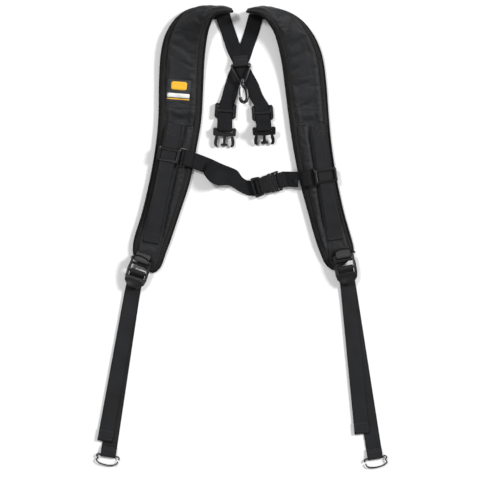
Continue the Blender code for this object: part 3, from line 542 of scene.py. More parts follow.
def sweep(name, rings, marks, finishes, closed=False, finish_at=None):
    """A skin through rings of points; marks hold each point's (u, v). closed joins the last ring to the first."""
    bm = bmesh.new()
    layer = bm.loops.layers.uv.new("UVMap")
    rows = [[bm.verts.new(Vector(point) * MM) for point in ring] for ring in rings]
    count, last = len(rings[0]), len(rings)
    length = (Vector(rings[0][0]) - Vector(rings[-1][0])).length
    for i in range(last if closed else last - 1):
        after = (i + 1) % last
        jump = 0.0 if after else marks[-1][0][1] + length - marks[0][0][1]
        for j in range(count):
            k = (j + 1) % count
            face = bm.faces.new((rows[i][j], rows[i][k], rows[after][k], rows[after][j]))
            face.smooth = True
            face.material_index = finish_at(i, j) if finish_at else 0
            corners = (marks[i][j], marks[i][k], marks[after][k], marks[after][j])
            for corner, (loop, (u, v)) in enumerate(zip(face.loops, corners)):
                loop[layer].uv = (u, v + (jump if corner > 1 else 0.0))
    if not closed:
        for row, mark in ((rows[0], marks[0]), (rows[-1][::-1], marks[-1][::-1])):
            face = bm.faces.new(row)
            for loop, uv in zip(face.loops, mark):
                loop[layer].uv = uv
    return link(name, mesh_of(bm, name), *finishes)


def heading(angle):
    """Plan direction at an angle from Y."""
    return Vector((-sin(radians(angle)), cos(radians(angle)), 0))


def across(angle):
    """Plan direction at an angle from X."""
    return Vector((cos(radians(angle)), sin(radians(angle)), 0))


def smooth(points, steps):
    """Catmull-Rom points through the given points, which may hold any count of numbers."""
    padded = [points[0], *points, points[-1]]
    found = []
    for i in range(1, len(padded) - 2):
        p0, p1, p2, p3 = (Vector(p) for p in padded[i - 1 : i + 3])
        for k in range(steps):
            t = k / steps
            found.append(
                (2 * p1 + (p2 - p0) * t + (2 * p0 - 5 * p1 + 4 * p2 - p3) * t * t
                 + (3 * p1 - p0 - 3 * p2 + p3) * t ** 3) / 2
            )
    found.append(Vector(points[-1]))
    return found


def spaced(points, pitch):
    """Points at an even pitch along a fine route; each may hold any count of numbers, places first."""
    gone = [0.0]
    for a, b in zip(points, points[1:]):
        gone.append(gone[-1] + (b - a).length)
    count = max(2, round(gone[-1] / pitch))
    found, at = [], 0
    for k in range(count + 1):
        want = gone[-1] * k / count
        while at < len(points) - 2 and gone[at + 1] < want:
            at += 1
        reach = max(gone[at + 1] - gone[at], 1e-9)
        found.append(points[at].lerp(points[at + 1], min(1.0, (want - gone[at]) / reach)))
    return found


def arc(centre, radius, start, end):
    found = []
    for k in range(WRAP_STEPS + 1):
        turn = radians(start + (end - start) * k / WRAP_STEPS)
        found.append((centre[0] + radius * cos(turn), centre[1] + radius * sin(turn)))
    return found


def eased(stations):
    """Stations close together, with the corners between long runs rounded off; tight wraps stay as they are."""
    found = []
    for (a, side_a), (b, side_b) in zip(stations, stations[1:]):
        count = max(1, ceil((b - a).length / LONGEST_STEP))
        for k in range(count):
            found.append((a.lerp(b, k / count), side_a.lerp(side_b, k / count).normalized()))
    found.append(stations[-1])
    for _ in range(EASE_ROUNDS):
        kept = list(found)
        for i in range(1, len(found) - 1):
            before, (here, side), after = kept[i - 1][0], kept[i], kept[i + 1][0]
            if min((here - before).length, (after - here).length) > EASED_OVER:
                found[i] = (here * 0.5 + (before + after) * 0.25, side)
    return found


def strap(name, stations, finish, width=WEB_WIDTH, thick=WEB_THICK):
    """Webbing with rounded edges through stations (centre, unit vector across it)."""
    rows = eased(stations)
    half, round_off = width / 2, thick / 2
    flat = [-1 + 2 * k / 8 for k in range(9)]
    section = [(x * (half - round_off), round_off) for x in flat]
    section += [(half - round_off * 0.3, round_off * 0.7), (half, 0), (half - round_off * 0.3, -round_off * 0.7)]
    section += [(-x * (half - round_off), -round_off) for x in flat]
    section += [(-half + round_off * 0.3, -round_off * 0.7), (-half, 0), (-half + round_off * 0.3, round_off * 0.7)]
    rings, marks = [], []
    for (centre, way, gone), (_, side) in zip(walk([centre for centre, _ in rows]), rows):
        off = side.cross(way)
        rings.append([centre + side * x + off * z for x, z in section])
        marks.append([(x, gone) for x, _ in section])
    return sweep(name, rings, marks, [finish])


def walk(points, closed=False):
    """Each point of a route with the direction there and the distance gone."""
    last, gone = len(points), 0.0
    for i, point in enumerate(points):
        before = points[i - 1] if closed or i else point
        after = points[(i + 1) % last] if closed or i + 1 < last else point
        gone += (point - before).length if i else 0.0
        yield point, (after - before).normalized(), gone


def oval(centre, side, off, wide, tall, count):
    """Points of an oval round a centre, wide along side and tall along off, and the angle of each."""
    turns = [2 * pi * k / count for k in range(count)]
    return [centre + side * wide * cos(turn) + off * tall * sin(turn) for turn in turns], turns


def tube(name, points, radius, finish, sides=12, flat=1.0):
    """A round wire or piping along a route; flat squeezes it in height."""
    rings, marks = [], []
    for point, way, gone in walk(points):
        side = way.cross(UP).normalized()
        ring, turns = oval(point, side, side.cross(way), radius, radius * flat, sides)
        rings.append(ring)
        marks.append([(radius * turn, gone) for turn in turns])
    return sweep(name, rings, marks, [finish])


def surface_of(*names):
    """Gives the height of the highest of these pieces over a plan point, in millimetres."""
    bpy.context.view_layer.update()
    graph = bpy.context.evaluated_depsgraph_get()
    trees = [BVHTree.FromObject(bpy.data.objects[name], graph) for name in names]

    def height(x, y):
        hits = [tree.ray_cast(Vector((x, y, OVER_ALL)) * MM, -UP)[0] for tree in trees]
        return max((hit.z / MM for hit in hits if hit), default=0.0)

    return height


def stitches(name, runs, height, long=2.3, gap=0.9, radius=0.3, body="harness"):
    """Rows of thread on the cloth under them: each run is a list of points, whose heights don't count."""
    bm = bmesh.new()
    layer = bm.loops.layers.uv.new("UVMap")
    for run in runs:
        fine = spaced([Vector((p.x, p.y, 0)) for p in run], (long + gap) / 4)
        for k in range(0, len(fine) - 3, 4):
            line = []
            for point, lift in zip(fine[k : k + 4], (-0.15, 0.18, 0.18, -0.15)):
                line.append(point + UP * (height(point.x, point.y) + lift))
            side = (line[-1] - line[0]).normalized().cross(UP).normalized()
            rings = []
            for point, share in zip(line, (0.55, 1.0, 1.0, 0.55)):
                ring, _ = oval(point, side, UP, radius * share, radius * share, 6)
                rings.append([bm.verts.new(at * MM) for at in ring])
            for i, (first, second) in enumerate(zip(rings, rings[1:])):
                for j in range(6):
                    face = bm.faces.new((first[j], first[(j + 1) % 6], second[(j + 1) % 6], second[j]))
                    face.smooth = True
                    for loop, v in zip(face.loops, (i, i, i + 1, i + 1)):
                        loop[layer].uv = (j * 0.3, v * long / 3)
            bm.faces.new(rings[0])
            bm.faces.new(rings[-1][::-1])
    return dress(link(name, mesh_of(bm, name), THREAD), "webbing", body=body)


def box_run(at, along, side, length, width, cross=False):
    """Runs of a sewn box, and of its X."""
    signs = ((-1, -1), (1, -1), (1, 1), (-1, 1))
    corners = [at + along * (length / 2 * a) + side * (width / 2 * b) for a, b in signs]
    return [corners + corners[:1]] + ([corners[0::2], corners[1::2]] if cross else [])


# ---- Pads ----


def leftward(way):
    """A plan direction turned a quarter to the left."""
    return Vector((-way.y, way.x, 0))


def rail_line(side):
    """The rail webbing's top end, its direction down and its length."""
    top, bottom = (Vector((*SIDES[side][end], 0)) for end in ("rail_top", "rail_bottom"))
    return top, (bottom - top).normalized(), (bottom - top).length


def rail_angle(side):
    _, down, _ = rail_line(side)
    return degrees(atan2(down.x, -down.y))


def pad_rows(side):
    """Even rows along a pad: outer edge, inner edge, up, thickness share and distance gone."""
    stations = [(x, y, low, u, v, high, share) for (x, y, u, v), (low, high, share) in zip(PAD_EDGES[side], PAD_LIFTS)]
    fine = spaced(smooth(stations, 10), ROW_PITCH)
    middles = [(Vector(row[0:3]) + Vector(row[3:6])) / 2 for row in fine]
    found = []
    for row, (_, way, gone) in zip(fine, walk(middles)):
        outer, inner = Vector(row[0:3]), Vector(row[3:6])
        outer.z, inner.z = max(outer.z, 0.0), max(inner.z, 0.0)
        up = (inner - outer).normalized().cross(way).normalized() * SIDES[side]["turn"]
        found.append((outer, inner, up, row[6], gone))
    return found


def near(value, centre, width):
    return exp(-(((value - centre) / width) ** 2))


def step(value, start, end):
    t = min(1.0, max(0.0, (value - start) / (end - start)))
    return t * t * (3 - 2 * t)


OUTER_SEAM, INNER_SEAM = 0.145, 0.85
FRONT = sorted(
    {round(k / 30, 4) for k in range(31)}
    | {0.015, 0.05, OUTER_SEAM - 0.02, OUTER_SEAM, OUTER_SEAM + 0.02, INNER_SEAM - 0.02, INNER_SEAM, INNER_SEAM + 0.02}
    | {0.95, 0.985}
)
BACK = [k / 12 for k in range(1, 12)]


def pad_front(side, u, x, y, width):
    """Height of a pad's front over its underside, and how firmly it is sewn down there."""
    data = SIDES[side]
    edge = min(u, 1 - u) * width
    dome = 1 - max(0.0, 1 - edge / 13.0) ** 2.4
    height = RIM_HEIGHT + (COVER_TOP - RIM_HEIGHT) * dome
    held = 1.0 if edge < 2.0 else 0.0
    top, down, length = rail_line(side)
    off = Vector((x, y, 0)) - top
    drop, aside = off.dot(down), off.dot(leftward(down)) * data["turn"]
    fold_high, fold_low, fold_end = data["fold_lines"]
    tilt = tan(radians(data["fold_tilt"]))
    level = y - tilt * (x - top.x)
    for seam in (OUTER_SEAM, INNER_SEAM):
        gone = (u - seam) * width
        inside = 1 if seam == OUTER_SEAM else -1
        height -= 1.9 * near(gone, 0, 1.5)
        height += 1.1 * near(gone * inside, 5.5, 3.6)
        held = max(held, near(gone, 0, 1.3))
    if OUTER_SEAM + 0.01 < u < INNER_SEAM - 0.01:
        for line, depth in ((fold_high, 1.3), (fold_low, 1.5), (fold_end, 2.0)):
            height -= depth * near(level, line, 1.5)
            held = max(held, near(level, line, 1.3))
        height += 0.5 * near(level, (fold_high + fold_low) / 2, 1.2)
        height -= data["fold_sink"] * step(fold_low - level, 2, 21) * step(level, fold_end - 3, fold_end)
    below = step(fold_end - level, 0, 3)
    if below > 0 and u < INNER_SEAM:
        height -= below * 2.4 * near(aside, VALLEY, 1.7)
        held = max(held, below * near(aside, VALLEY, 1.5))
        height += below * 2.0 * near(aside, (VALLEY + INNER_EDGE) / 2, 4.4) * step(length + 45 - drop, 0, 60)
        height -= below * 0.9 * step(14.5 - aside, -2, 4) * step(length + 2 - drop, 0, 8)
        wrinkles = sin((drop * 0.8 + aside * 0.9) * 0.75) * near(drop, data["slider_drop"] + 27, 10)
        height += 0.35 * wrinkles * near(aside, 12, 7) * below
        if -2 < drop < length and -18 < aside < 15:
            held = 1.0
    return min(height, FRONT_TOP), held


def pad_body(side):
    """The padded body: cover cloth between two seams, mesh borders, rounded sides and a flat underside."""
    rows = pad_rows(side)
    rings, marks, pins = [], [], []
    for outer, inner, up, share, gone in rows:
        width = (inner - outer).length
        ring, mark, pin = [], [], []
        for u in FRONT:
            at = outer.lerp(inner, 0.012 + u * 0.976)
            height, held = pad_front(side, u, at.x, at.y, width)
            ring.append(at + up * height * share)
            mark.append(((u - 0.5) * width, gone))
            pin.append(held)
        for k in reversed(BACK):
            at = outer.lerp(inner, k)
            edge = min(k, 1 - k) * width
            low = BACK_TOP + (RIM_HEIGHT - BACK_TOP) * max(0.0, 1 - edge / 7.0) ** 2
            ring.append(at + up * low * share)
            mark.append(((k - 0.5) * width, gone))
            pin.append(1.0)
        rings.append(ring)
        marks.append(mark)
        pins.append(pin)
    pins[0] = pins[1] = pins[-1] = pins[-2] = [1.0] * len(pins[0])

    def finish_at(i, j):
        if j >= len(FRONT) - 1:
            return 1
        u = (FRONT[j] + FRONT[j + 1]) / 2
        return 0 if OUTER_SEAM < u < INNER_SEAM else 1

    made = sweep(f"pad_{side}", rings, marks, [SATIN, BORDER_MESH], finish_at=finish_at)
    puff(made, [held for pin in pins for held in pin], side)
    put(made.modifiers.new("rounding", "SUBSURF"), levels=1, render_levels=1)
    bake_modifiers(made)
    dress(made, "cover_fabric", f"pad_front_cover_{side}", f"pad_foam_{side}")
    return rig.padded(made, fill=0.7)


def bake_modifiers(piece):
    graph = bpy.context.evaluated_depsgraph_get()
    baked = bpy.data.meshes.new_from_object(piece.evaluated_get(graph), preserve_all_data_layers=True, depsgraph=graph)
    piece.modifiers.clear()
    piece.data = baked
    return piece


def puff(piece, pins, side):
    """Inflates the cloth between its seams, then keeps every point within a few millimetres of its pattern."""
    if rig.quick():
        return
    rest = [v.co.copy() for v in piece.data.vertices]
    group = piece.vertex_groups.new(name="sewn")
    for index, held in enumerate(pins):
        if held > 0.35:
            group.add([index], 1.0, "REPLACE")
    cloth = piece.modifiers.new("cloth", "CLOTH")
    put(
        cloth.settings, vertex_group_mass="sewn", quality=5, mass=0.3, tension_stiffness=12, compression_stiffness=12,
        bending_stiffness=0.4, shrink_min=-0.02, use_pressure=True, uniform_pressure_force=4,
    )
    cloth.settings.effector_weights.gravity = 0
    cloth.collision_settings.use_self_collision = False
    put(cloth.point_cache, frame_start=1, frame_end=PUFF_FRAMES)
    for number in range(1, PUFF_FRAMES + 1):
        scene.frame_set(number)
    bake_modifiers(piece)
    scene.frame_set(1)
    top, down, length = rail_line(side)
    for vertex, start, held in zip(piece.data.vertices, rest, pins):
        move = vertex.co - start
        limit = PUFF_MOST * MM * (1 - min(1.0, held))
        if move.length > limit:
            move *= limit / move.length
        vertex.co = start + move
        off = start / MM - top
        off.z = 0
        if -5 < off.dot(down) < length + 5 and start.z > 8 * MM:
            most = UNDER_RAIL_TOP if abs(off.dot(leftward(down))) < 19 else PUFF_TOP
            vertex.co.z = min(vertex.co.z, most * MM)
        vertex.co.z = max(vertex.co.z, 0.6 * MM)
    piece.data.update()


def pad_back(side):
    """Spacer-mesh panel under the pad, quilted a little between its edges."""
    rings, marks = [], []
    rows = pad_rows(side)[1:-2]
    columns = [0.055 + 0.89 * k / 16 for k in range(17)]
    for outer, inner, up, share, gone in rows:
        width = (inner - outer).length
        top_side, under = [], []
        for k in columns:
            at = outer.lerp(inner, k)
            edge = min(k, 1 - k) * width
            rim = max(0.0, 1 - (edge - 1.5) / 7.0)
            lift = 2.6 * min(1.0, rim) ** 2
            wave = 0.25 * (1 + sin(gone / 9.0)) * sin(pi * k)
            under.append(at + up * (lift + 0.05 + wave * 0.6) * share)
            top_side.append(at + up * (lift + 1.3) * share)
        rings.append(top_side + under[::-1])
        flat = [((k - 0.5) * width, gone) for k in columns]
        marks.append(flat + flat[::-1])
    made = sweep(f"pad_back_{side}", rings, marks, [BACK_MESH])
    return dress(made, "pad_mesh", f"pad_back_mesh_{side}")


def pad_binding(side):
    """Tape folded over the rim all the way round."""
    rows, rims = pad_rows(side), ([], [])
    for outer, inner, up, share, _ in rows:
        inset, lift = (inner - outer).normalized() * RIM_INSET, up * RIM_HEIGHT * share
        for rim, edge in zip(rims, (outer + inset, inner - inset)):
            rim.append(Vector((*(edge + lift), *up, share)))
    loop = rims[0] + rims[1][::-1]
    closed = spaced(loop + loop[:1], 3.2)[:-1]
    for _ in range(3):
        last = len(closed)
        closed = [closed[i] * 0.5 + (closed[i - 1] + closed[(i + 1) % last]) * 0.25 for i in range(last)]
    rings, marks = [], []
    wide, tall = TAPE_HALF
    for point, (here, way, gone) in zip(closed, walk([Vector(point[0:3]) for point in closed], closed=True)):
        up = Vector(point[3:6]).normalized()
        ring, turns = oval(here, up.cross(way), up, wide, tall * (0.5 + 0.5 * point[6]), 14)
        rings.append(ring)
        marks.append([(turn * 2.2, gone) for turn in turns])
    made = sweep(f"pad_rim_tape_{side}", rings, marks, [TAPE], closed=True)
    return dress(made, "binding_tape", f"pad_binding_{side}")


# ---- Webbings ----


def lay(anchor, angle, profile):
    """Stations of a strip that runs at an angle in plan from an anchor, through (distance, height) points.

    A third number in a point puts it off to the side of the run.
    """
    flat = Vector((anchor.x, anchor.y, 0))
    side_way = across(angle + 90)
    stations = []
    for s, z, *aside in profile:
        stations.append((flat + across(angle) * s + side_way * sum(aside) + UP * z, side_way))
    return stations


def over_plan(at, profile):
    """Stations over a plan route, from (distance, height) points."""
    return [(place + UP * z, side_way) for s, z in profile for place, side_way in [at(s)]]


def rail_webbing(side):
    top, down, length = rail_line(side)
    sewn, raised = COVER_TOP + WEB_LIFT, RAIL_LOW + WEB_THICK / 2
    profile = [(0, sewn), (6, sewn), (12, raised), (length - 30, raised), (length - 20, sewn), (length, sewn)]
    stations = [(top + down * s + UP * z, leftward(down)) for s, z in profile]
    made = strap(f"rail_strap_{side}", stations, WEBBING)
    return dress(made, "webbing", f"rail_webbing_{side}")


def lock_point(side, along, height):
    down = -heading(SIDES[side]["lock_angle"])
    return Vector((*SIDES[side]["lock_bar"], 0)) + down * along + UP * height


def lock_anchor(side):
    """Webbing that comes out of the pad's end seam, wraps the lock's bar and goes back in beneath itself."""
    wrap = LOCK_END_ROD + WEB_LIFT + 0.25
    bar = LOCK_BAR_HEIGHT
    profile = [(-16, 4.5), (-12.5, 7.2), (-9.5, 11.2), (-6.5, bar + wrap - 2.4)] + arc((0, bar), wrap, 100, -80)
    profile += [(-4, bar - wrap + 0.2)]
    stations = [(lock_point(side, s, z), across(SIDES[side]["lock_angle"])) for s, z in profile]
    made = strap(f"lock_anchor_strap_{side}", stations, RIBBED_WEBBING, width=WEB_WIDTH - 1)
    return dress(made, "webbing", f"ladder_lock_anchor_{side}")


def end_lip(side):
    """Rolled edge of the cover over the place where the anchor webbing comes out."""
    height = surface_of(f"pad_{side}", f"lock_anchor_strap_{side}")
    flat = spaced(smooth([(x, y, 0) for x, y in SIDES[side]["end_lip"]], 6), 1.6)
    heights = [height(p.x, p.y) for p in flat]
    for _ in range(4):
        beside = zip(heights[:1] + heights, heights, heights[1:] + heights[-1:])
        heights = [max(h, (a + b) / 2) for a, h, b in beside]
    points = [p + UP * (h + 0.2) for p, h in zip(flat, heights)]
    return dress(tube(f"pad_end_lip_{side}", points, 1.5, TAPE, flat=0.7), "binding_tape")


def strap_plan(side, final_angle):
    """Gives plan places along a lower strap: it leaves the bar in the lock's direction and turns to its own."""
    data = SIDES[side]
    start = lock_point(side, LOCK_BAR_SPACING * cos(radians(LOCK_PITCH)), 0)

    def angle_at(distance):
        left = max(0.0, 1 - max(0.0, distance - TURN_FROM) / TURN_LENGTH)
        return final_angle + (data["lock_angle"] - final_angle) * left * left

    def at(distance):
        here, gone = start.copy(), min(distance, TURN_FROM)
        here -= heading(data["lock_angle"]) * gone
        while gone < distance:
            stride = min(TURN_STRIDE, distance - gone)
            here -= heading(angle_at(gone + stride / 2)) * stride
            gone += stride
        return here, across(angle_at(distance))

    return at


def middle_bar_height():
    return LOCK_BAR_HEIGHT - LOCK_BAR_SPACING * sin(radians(LOCK_PITCH))


def lower_strap(side):
    """The hook's loop, the load run, the wrap over the lock's middle bar, and the tail with its hem on top."""
    data = SIDES[side]
    load_at, tail_at = strap_plan(side, data["load_angle"]), strap_plan(side, data["tail_angle"])
    end, tail_end = data["load_length"], data["tail_length"]
    low, bar = WEB_LIFT, middle_bar_height()
    hook_wrap = WIRE + WEB_LIFT + 0.1
    wrap = LOCK_ROD + WEB_LIFT + 0.15
    load = [(end - 15, low + 1.7), (end - 9, low + 2.1), (end - 4, HOOK_HEIGHT + hook_wrap - 0.6)]
    load += arc((end, HOOK_HEIGHT), hook_wrap, 95, -90)
    load += [(end - 8, low), (end - 40, low), (200, low), (140, low), (90, low), (55, low), (42, low), (30, low)]
    load += [(22, low + 0.1), (14, low + 0.6), (7, low + 2.0), (1, low + 4.2), (-2.4, bar - 3.2)]
    over = arc((0, bar), wrap, 190, 10)
    tail = [(4.2, bar - 2.2), (7.4, bar - 4.8), (12, bar - 6.3), (18, low + 3.4), (26, low + 2.8), (38, low + 2.2)]
    tail += [(50, low + 1.8), (80, low + 1.7), (140, low + 1.7), (200, low + 1.7), (tail_end, low + 1.7)]
    body = f"lower_strap_{side}"
    stations = over_plan(load_at, load) + over_plan(tail_at, over + tail)
    made = strap(f"leg_strap_{side}", stations, WEBBING, width=WEB_WIDTH - 0.4)
    dress(made, "webbing", body, body=body)
    hem = [(0, 0), (-0.4, 0.7), (0.6, 1.45), (5, 1.5), (11, 1.5), (17, 1.45), (18.5, 1.2)]
    stations = over_plan(tail_at, [(tail_end + 0.9 - s, low + 1.7 + z) for s, z in hem])
    fold = strap(f"leg_strap_hem_{side}", stations, WEBBING, width=WEB_WIDTH - 0.4, thick=1.2)
    dress(fold, "webbing", body=body)
    middle, side_way = tail_at(tail_end - 8.5)
    along = (tail_at(tail_end)[0] - middle).normalized()
    runs = box_run(middle, along, side_way, 12.5, 20)
    for s in (end - 13.0, end - 10.8, end - 8.6):
        place, way = load_at(s)
        runs.append([place + way * 10, place - way * 10])
    stitches(f"leg_strap_stitching_{side}", runs, surface_of(made.name, fold.name), body=body)


def wire_hook(side):
    """A pinched ring of coated wire, open at its inner end."""
    turn = SIDES[side]["turn"]
    route = [
        (16.9, -7.6), (14.4, -12.6), (7, -15.0), (-2, -15.4), (-12.4, -13.6), (-17.6, -9.6), (-15.6, -5.6),
        (-18.4, -2.0), (-15.6, 0.8), (-12, 0), (-6, 0), (6, 0), (12.5, 0), (16.6, -0.6), (18.2, -3.0), (17.2, -5.0),
    ]
    middle, side_way = strap_plan(side, SIDES[side]["load_angle"])(SIDES[side]["load_length"])
    ahead, lift = leftward(side_way), UP * HOOK_HEIGHT
    points = [middle + side_way * x * turn + ahead * y + lift for x, y in smooth(route, 6)]
    made = tube(f"hook_wire_{side}", points, WIRE, WIRE_COAT, sides=14)
    return dress(made, "black_wire", f"wire_hook_{side}", body=f"wire_hook_{side}")


def slider_loop_bar(side):
    """Middle of the bar that the sternum webbing loops round."""
    top, down, _ = rail_line(side)
    at = top + down * SIDES[side]["slider_drop"]
    return at + across(rail_angle(side)) * LOOP_REACH * SIDES[side]["turn"]


def sternum_frame():
    """The male buckle's webbing bar and the turn of the buckle's own frame."""
    return Vector((*STERNUM_MALE_BAR, STERNUM_HEIGHT)), STERNUM_TILT - 90


def sternum_strap_right():
    """Short webbing from the male buckle's bar to the right slider."""
    start, _ = sternum_frame()
    end = slider_loop_bar("right")
    slider_angle = rail_angle("right") + 180
    middle_angle = degrees(atan2(end.y - start.y, end.x - start.x))
    low, high = STERNUM_HEIGHT, LOOP_HEIGHT
    close = BUCKLE_ROD + WEB_LIFT + 0.1
    stations = lay(start, STERNUM_TILT, [(12, low + 1.7), (7, low + close - 0.5)] + arc((0, low), close, 90, 270))
    stations += lay(start, STERNUM_TILT, [(6, low - 1.6), (12, low + 0.0)])
    stations += lay(start, middle_angle, [(22, low + 3.8), (30, low + 6.2)])
    stations += lay(end, slider_angle, [(9, high - LOOP_WRAP)])
    stations += lay(end, slider_angle, [(-s, z) for s, z in arc((0, high), LOOP_WRAP, -90, 90)])
    stations += lay(end, slider_angle, [(5, high + LOOP_WRAP - 0.4), (12, high - LOOP_WRAP + 3.0)])
    made = strap("sternum_strap_right", stations, PAINTED_SHADE_WEBBING)
    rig.slot(made, "webbing")
    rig.replaces(made, "sternum_webbing_right")
    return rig.blend(made, "sternum_slider_right", "sternum_male", end * MM * 0.75 + start * MM * 0.25, start * MM)


def sternum_strap_left():
    """Long webbing from the left slider, round the adjuster's bar and back, with its free lobe."""
    bar = slider_loop_bar("left")
    at, angle = sternum_frame()
    adjuster = at + heading(angle) * ADJUSTER_BAR
    halfway = (bar + adjuster) / 2
    bar_angle, middle_angle, buckle_angle = rail_angle("left"), -26.0, STERNUM_TILT
    high, low, run = LOOP_HEIGHT, STERNUM_HEIGHT, WEB_LIFT
    wrap = ADJUSTER_ROD + WEB_LIFT + 0.1
    loop = [(13, high - LOOP_WRAP + 2.6), (6, high + LOOP_WRAP - 0.4)] + arc((0, high), LOOP_WRAP, 90, 270)
    stations = lay(bar, bar_angle, loop + [(9, high - LOOP_WRAP)])
    stations += lay(halfway, middle_angle, [(-22, 10.6), (-8, 7.4), (8, 4.0, 1.2), (20, 1.9, 2.6)])
    stations += lay(adjuster, buckle_angle - 12, [(-23, run, 2.4)])
    under = [(-12, run), (-4, run), (-1, run + 0.3), (1.4, run + 1.6)]
    over = arc((0, low), wrap, 0, 180)
    tail = [(-3.3, low - 1.7), (-4.9, run + 1.66), (-12, run + 1.65)]
    stations += lay(adjuster, buckle_angle, under + over + tail)
    stations += lay(adjuster, buckle_angle - 14, [(-24, run + 2.6, 2.4)])
    lobe = [(22, 5.0, 0.5), (13, 9.0, -3), (9.5, 15.0, -6.5), (5, 20.0, -9), (-4, 22.5, -10.5), (-13, 22.0, -9)]
    lobe += [(-20, 18.5, -5), (-25, 16.4, -1.5)]
    stations += lay(halfway, middle_angle, lobe)
    made = strap("sternum_strap_left", stations, PAINTED_SHADE_WEBBING)
    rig.slot(made, "webbing")
    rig.replaces(made, "sternum_webbing_left")
    near_slider, near_buckle = (bar * 0.8 + adjuster * 0.2) * MM, (bar * 0.12 + adjuster * 0.88) * MM
    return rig.blend(made, "sternum_slider_left", "sternum_female", near_slider, near_buckle)


def rear_strap(side):
    """Rear webbing down to its buckle's bar, round it and back up under itself."""
    data = REAR_BUCKLES[side]
    bar = Vector(data["bar"])
    wrap = BUCKLE_ROD + REAR_LIFT + 0.1
    route = smooth(REAR_ROUTES[side], 3)
    for point in route:
        point.z = max(point.z, REAR_LIFT)
    side_way = Vector((1, 0, 0))
    stations = [(p, side_way) for p in route]
    reach = bar - route[-1]
    turn = degrees(atan2(-reach.z, reach.y)) % 360
    spread = degrees(acos(wrap / hypot(reach.y, reach.z)))
    for s, z in arc((0, 0), wrap, turn - spread, turn + spread - 360):
        stations.append((bar - heading(data["angle"]) * s + UP * z, across(data["angle"])))
    drop = UP * (REAR_THICK + 0.35)
    stations += [(p - drop, side_way) for p in reversed(route) if REAR_TAIL_TOP[side] > p.y > bar.y + 6]
    made = strap(f"rear_webbing_{side}", stations, PAINTED_SHADE_WEBBING, width=REAR_WIDTH, thick=REAR_THICK)
    return dress(made, "webbing", f"rear_strap_{side}")


def anchor_tab(side):
    """Folded webbing tab sewn under the pad's tip, its corners rounded."""
    bm = bmesh.new()
    layer = bm.loops.layers.uv.new("UVMap")
    base = bm.faces.new([bm.verts.new(Vector((x, y, GAP)) * MM) for x, y in SIDES[side]["anchor_tab"]])
    raised = bmesh.ops.extrude_face_region(bm, geom=[base])["geom"]
    top = [v for v in raised if isinstance(v, bmesh.types.BMVert)]
    bmesh.ops.translate(bm, vec=UP * WEB_THICK * MM, verts=top)
    bmesh.ops.recalc_face_normals(bm, faces=bm.faces)
    bmesh.ops.bevel(
        bm, geom=bm.edges[:], offset=0.5 * MM, segments=3, profile=0.5, affect="EDGES", clamp_overlap=True
    )
    for face in bm.faces:
        face.smooth = True
        for loop in face.loops:
            loop[layer].uv = (loop.vert.co.y / MM - 357, loop.vert.co.x / MM)
    made = link(f"tip_tab_{side}", mesh_of(bm, f"tip_tab_{side}", outward=False), PAINTED_SHADE_WEBBING)
    return dress(made, "webbing", f"rear_anchor_tab_{side}")


def junction_tab():
    """Webbing folded round the triangle eye's bar and sewn over the crossing of the rear straps."""
    wrap = EYE_WIRE + REAR_LIFT + 0.1
    profile = [(15, 4.5), (6, EYE_BAR_HEIGHT - wrap)]
    profile += [(-s, z) for s, z in arc((0, EYE_BAR_HEIGHT), wrap, -90, 90)]
    profile += [(5, EYE_BAR_HEIGHT + wrap - 1.0), (10.5, 6.4), (15, 6.1)]
    middle, up = Vector((*JUNCTION, 0)), heading(JUNCTION_TURN)
    stations = [(middle + up * s + UP * z, across(JUNCTION_TURN)) for s, z in profile]
    made = strap("junction_tab", stations, WEBBING, thick=REAR_THICK)
    return dress(made, "webbing", "back_junction_tab")


# ---- Moulded hardware ----


def hardware(node, rounding=0.5, shape=None, frame_at=None, cuts=()):
    """The CAD part with its flats merged, its edges rounded off, and shape(point) bending it in its own frame."""
    source = frame["nodes"][node]
    bm = bmesh.new()
    bm.from_mesh(source.data)
    bmesh.ops.remove_doubles(bm, verts=bm.verts, dist=2e-6)
    bmesh.ops.dissolve_limit(bm, angle_limit=radians(1.5), verts=bm.verts, edges=bm.edges)
    if shape:
        bmesh.ops.transform(bm, matrix=frame_at.inverted(), verts=bm.verts)
        for axis, places in cuts:
            normal = Vector((axis == "x", axis == "y", 0))
            for where in places:
                geometry = bm.verts[:] + bm.edges[:] + bm.faces[:]
                bmesh.ops.bisect_plane(bm, geom=geometry, plane_co=normal * where * MM, plane_no=normal, dist=1e-6)
        for vertex in bm.verts:
            vertex.co = shape(vertex.co / MM) * MM
        bmesh.ops.transform(bm, matrix=frame_at, verts=bm.verts)
    for face in bm.faces:
        face.smooth = True
    mesh = mesh_of(bm, f"{node}_moulded", outward=False)
    mesh.set_sharp_from_angle(angle=CORNER)
    made = link(f"{node}_moulded", mesh, PLASTIC)
    put(
        made.modifiers.new("rounding", "BEVEL"), width=rounding * MM, segments=3, limit_method="ANGLE",
        angle_limit=CORNER, use_clamp_overlap=True, miter_outer="MITER_ARC",
    )
    bake_modifiers(made)
    made.data.set_sharp_from_angle(angle=radians(50))
    made.modifiers.new("normals", "WEIGHTED_NORMAL").keep_sharp = True
    return dress(made, "hardware_plastic", node, body=source["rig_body"])


def spaced_numbers(start, end, pitch):
    count = round((end - start) / pitch)
    return [start + (end - start) * k / count for k in range(count + 1)]


def placed(at, angle, pitch=0.0):
    """A moulded part's own frame: at a place, turned in plan and pitched on its own X."""
    turn = Matrix.Rotation(radians(angle), 4, "Z") @ Matrix.Rotation(radians(pitch), 4, "X")
    return Matrix.Translation(Vector(at) * MM) @ turn


def narrowed(x, window, wanted):
    """Draws a window's side walls in, so that little light shows beside the webbing."""
    return copysign(wanted, x) if abs(abs(x) - window) < 0.2 else x


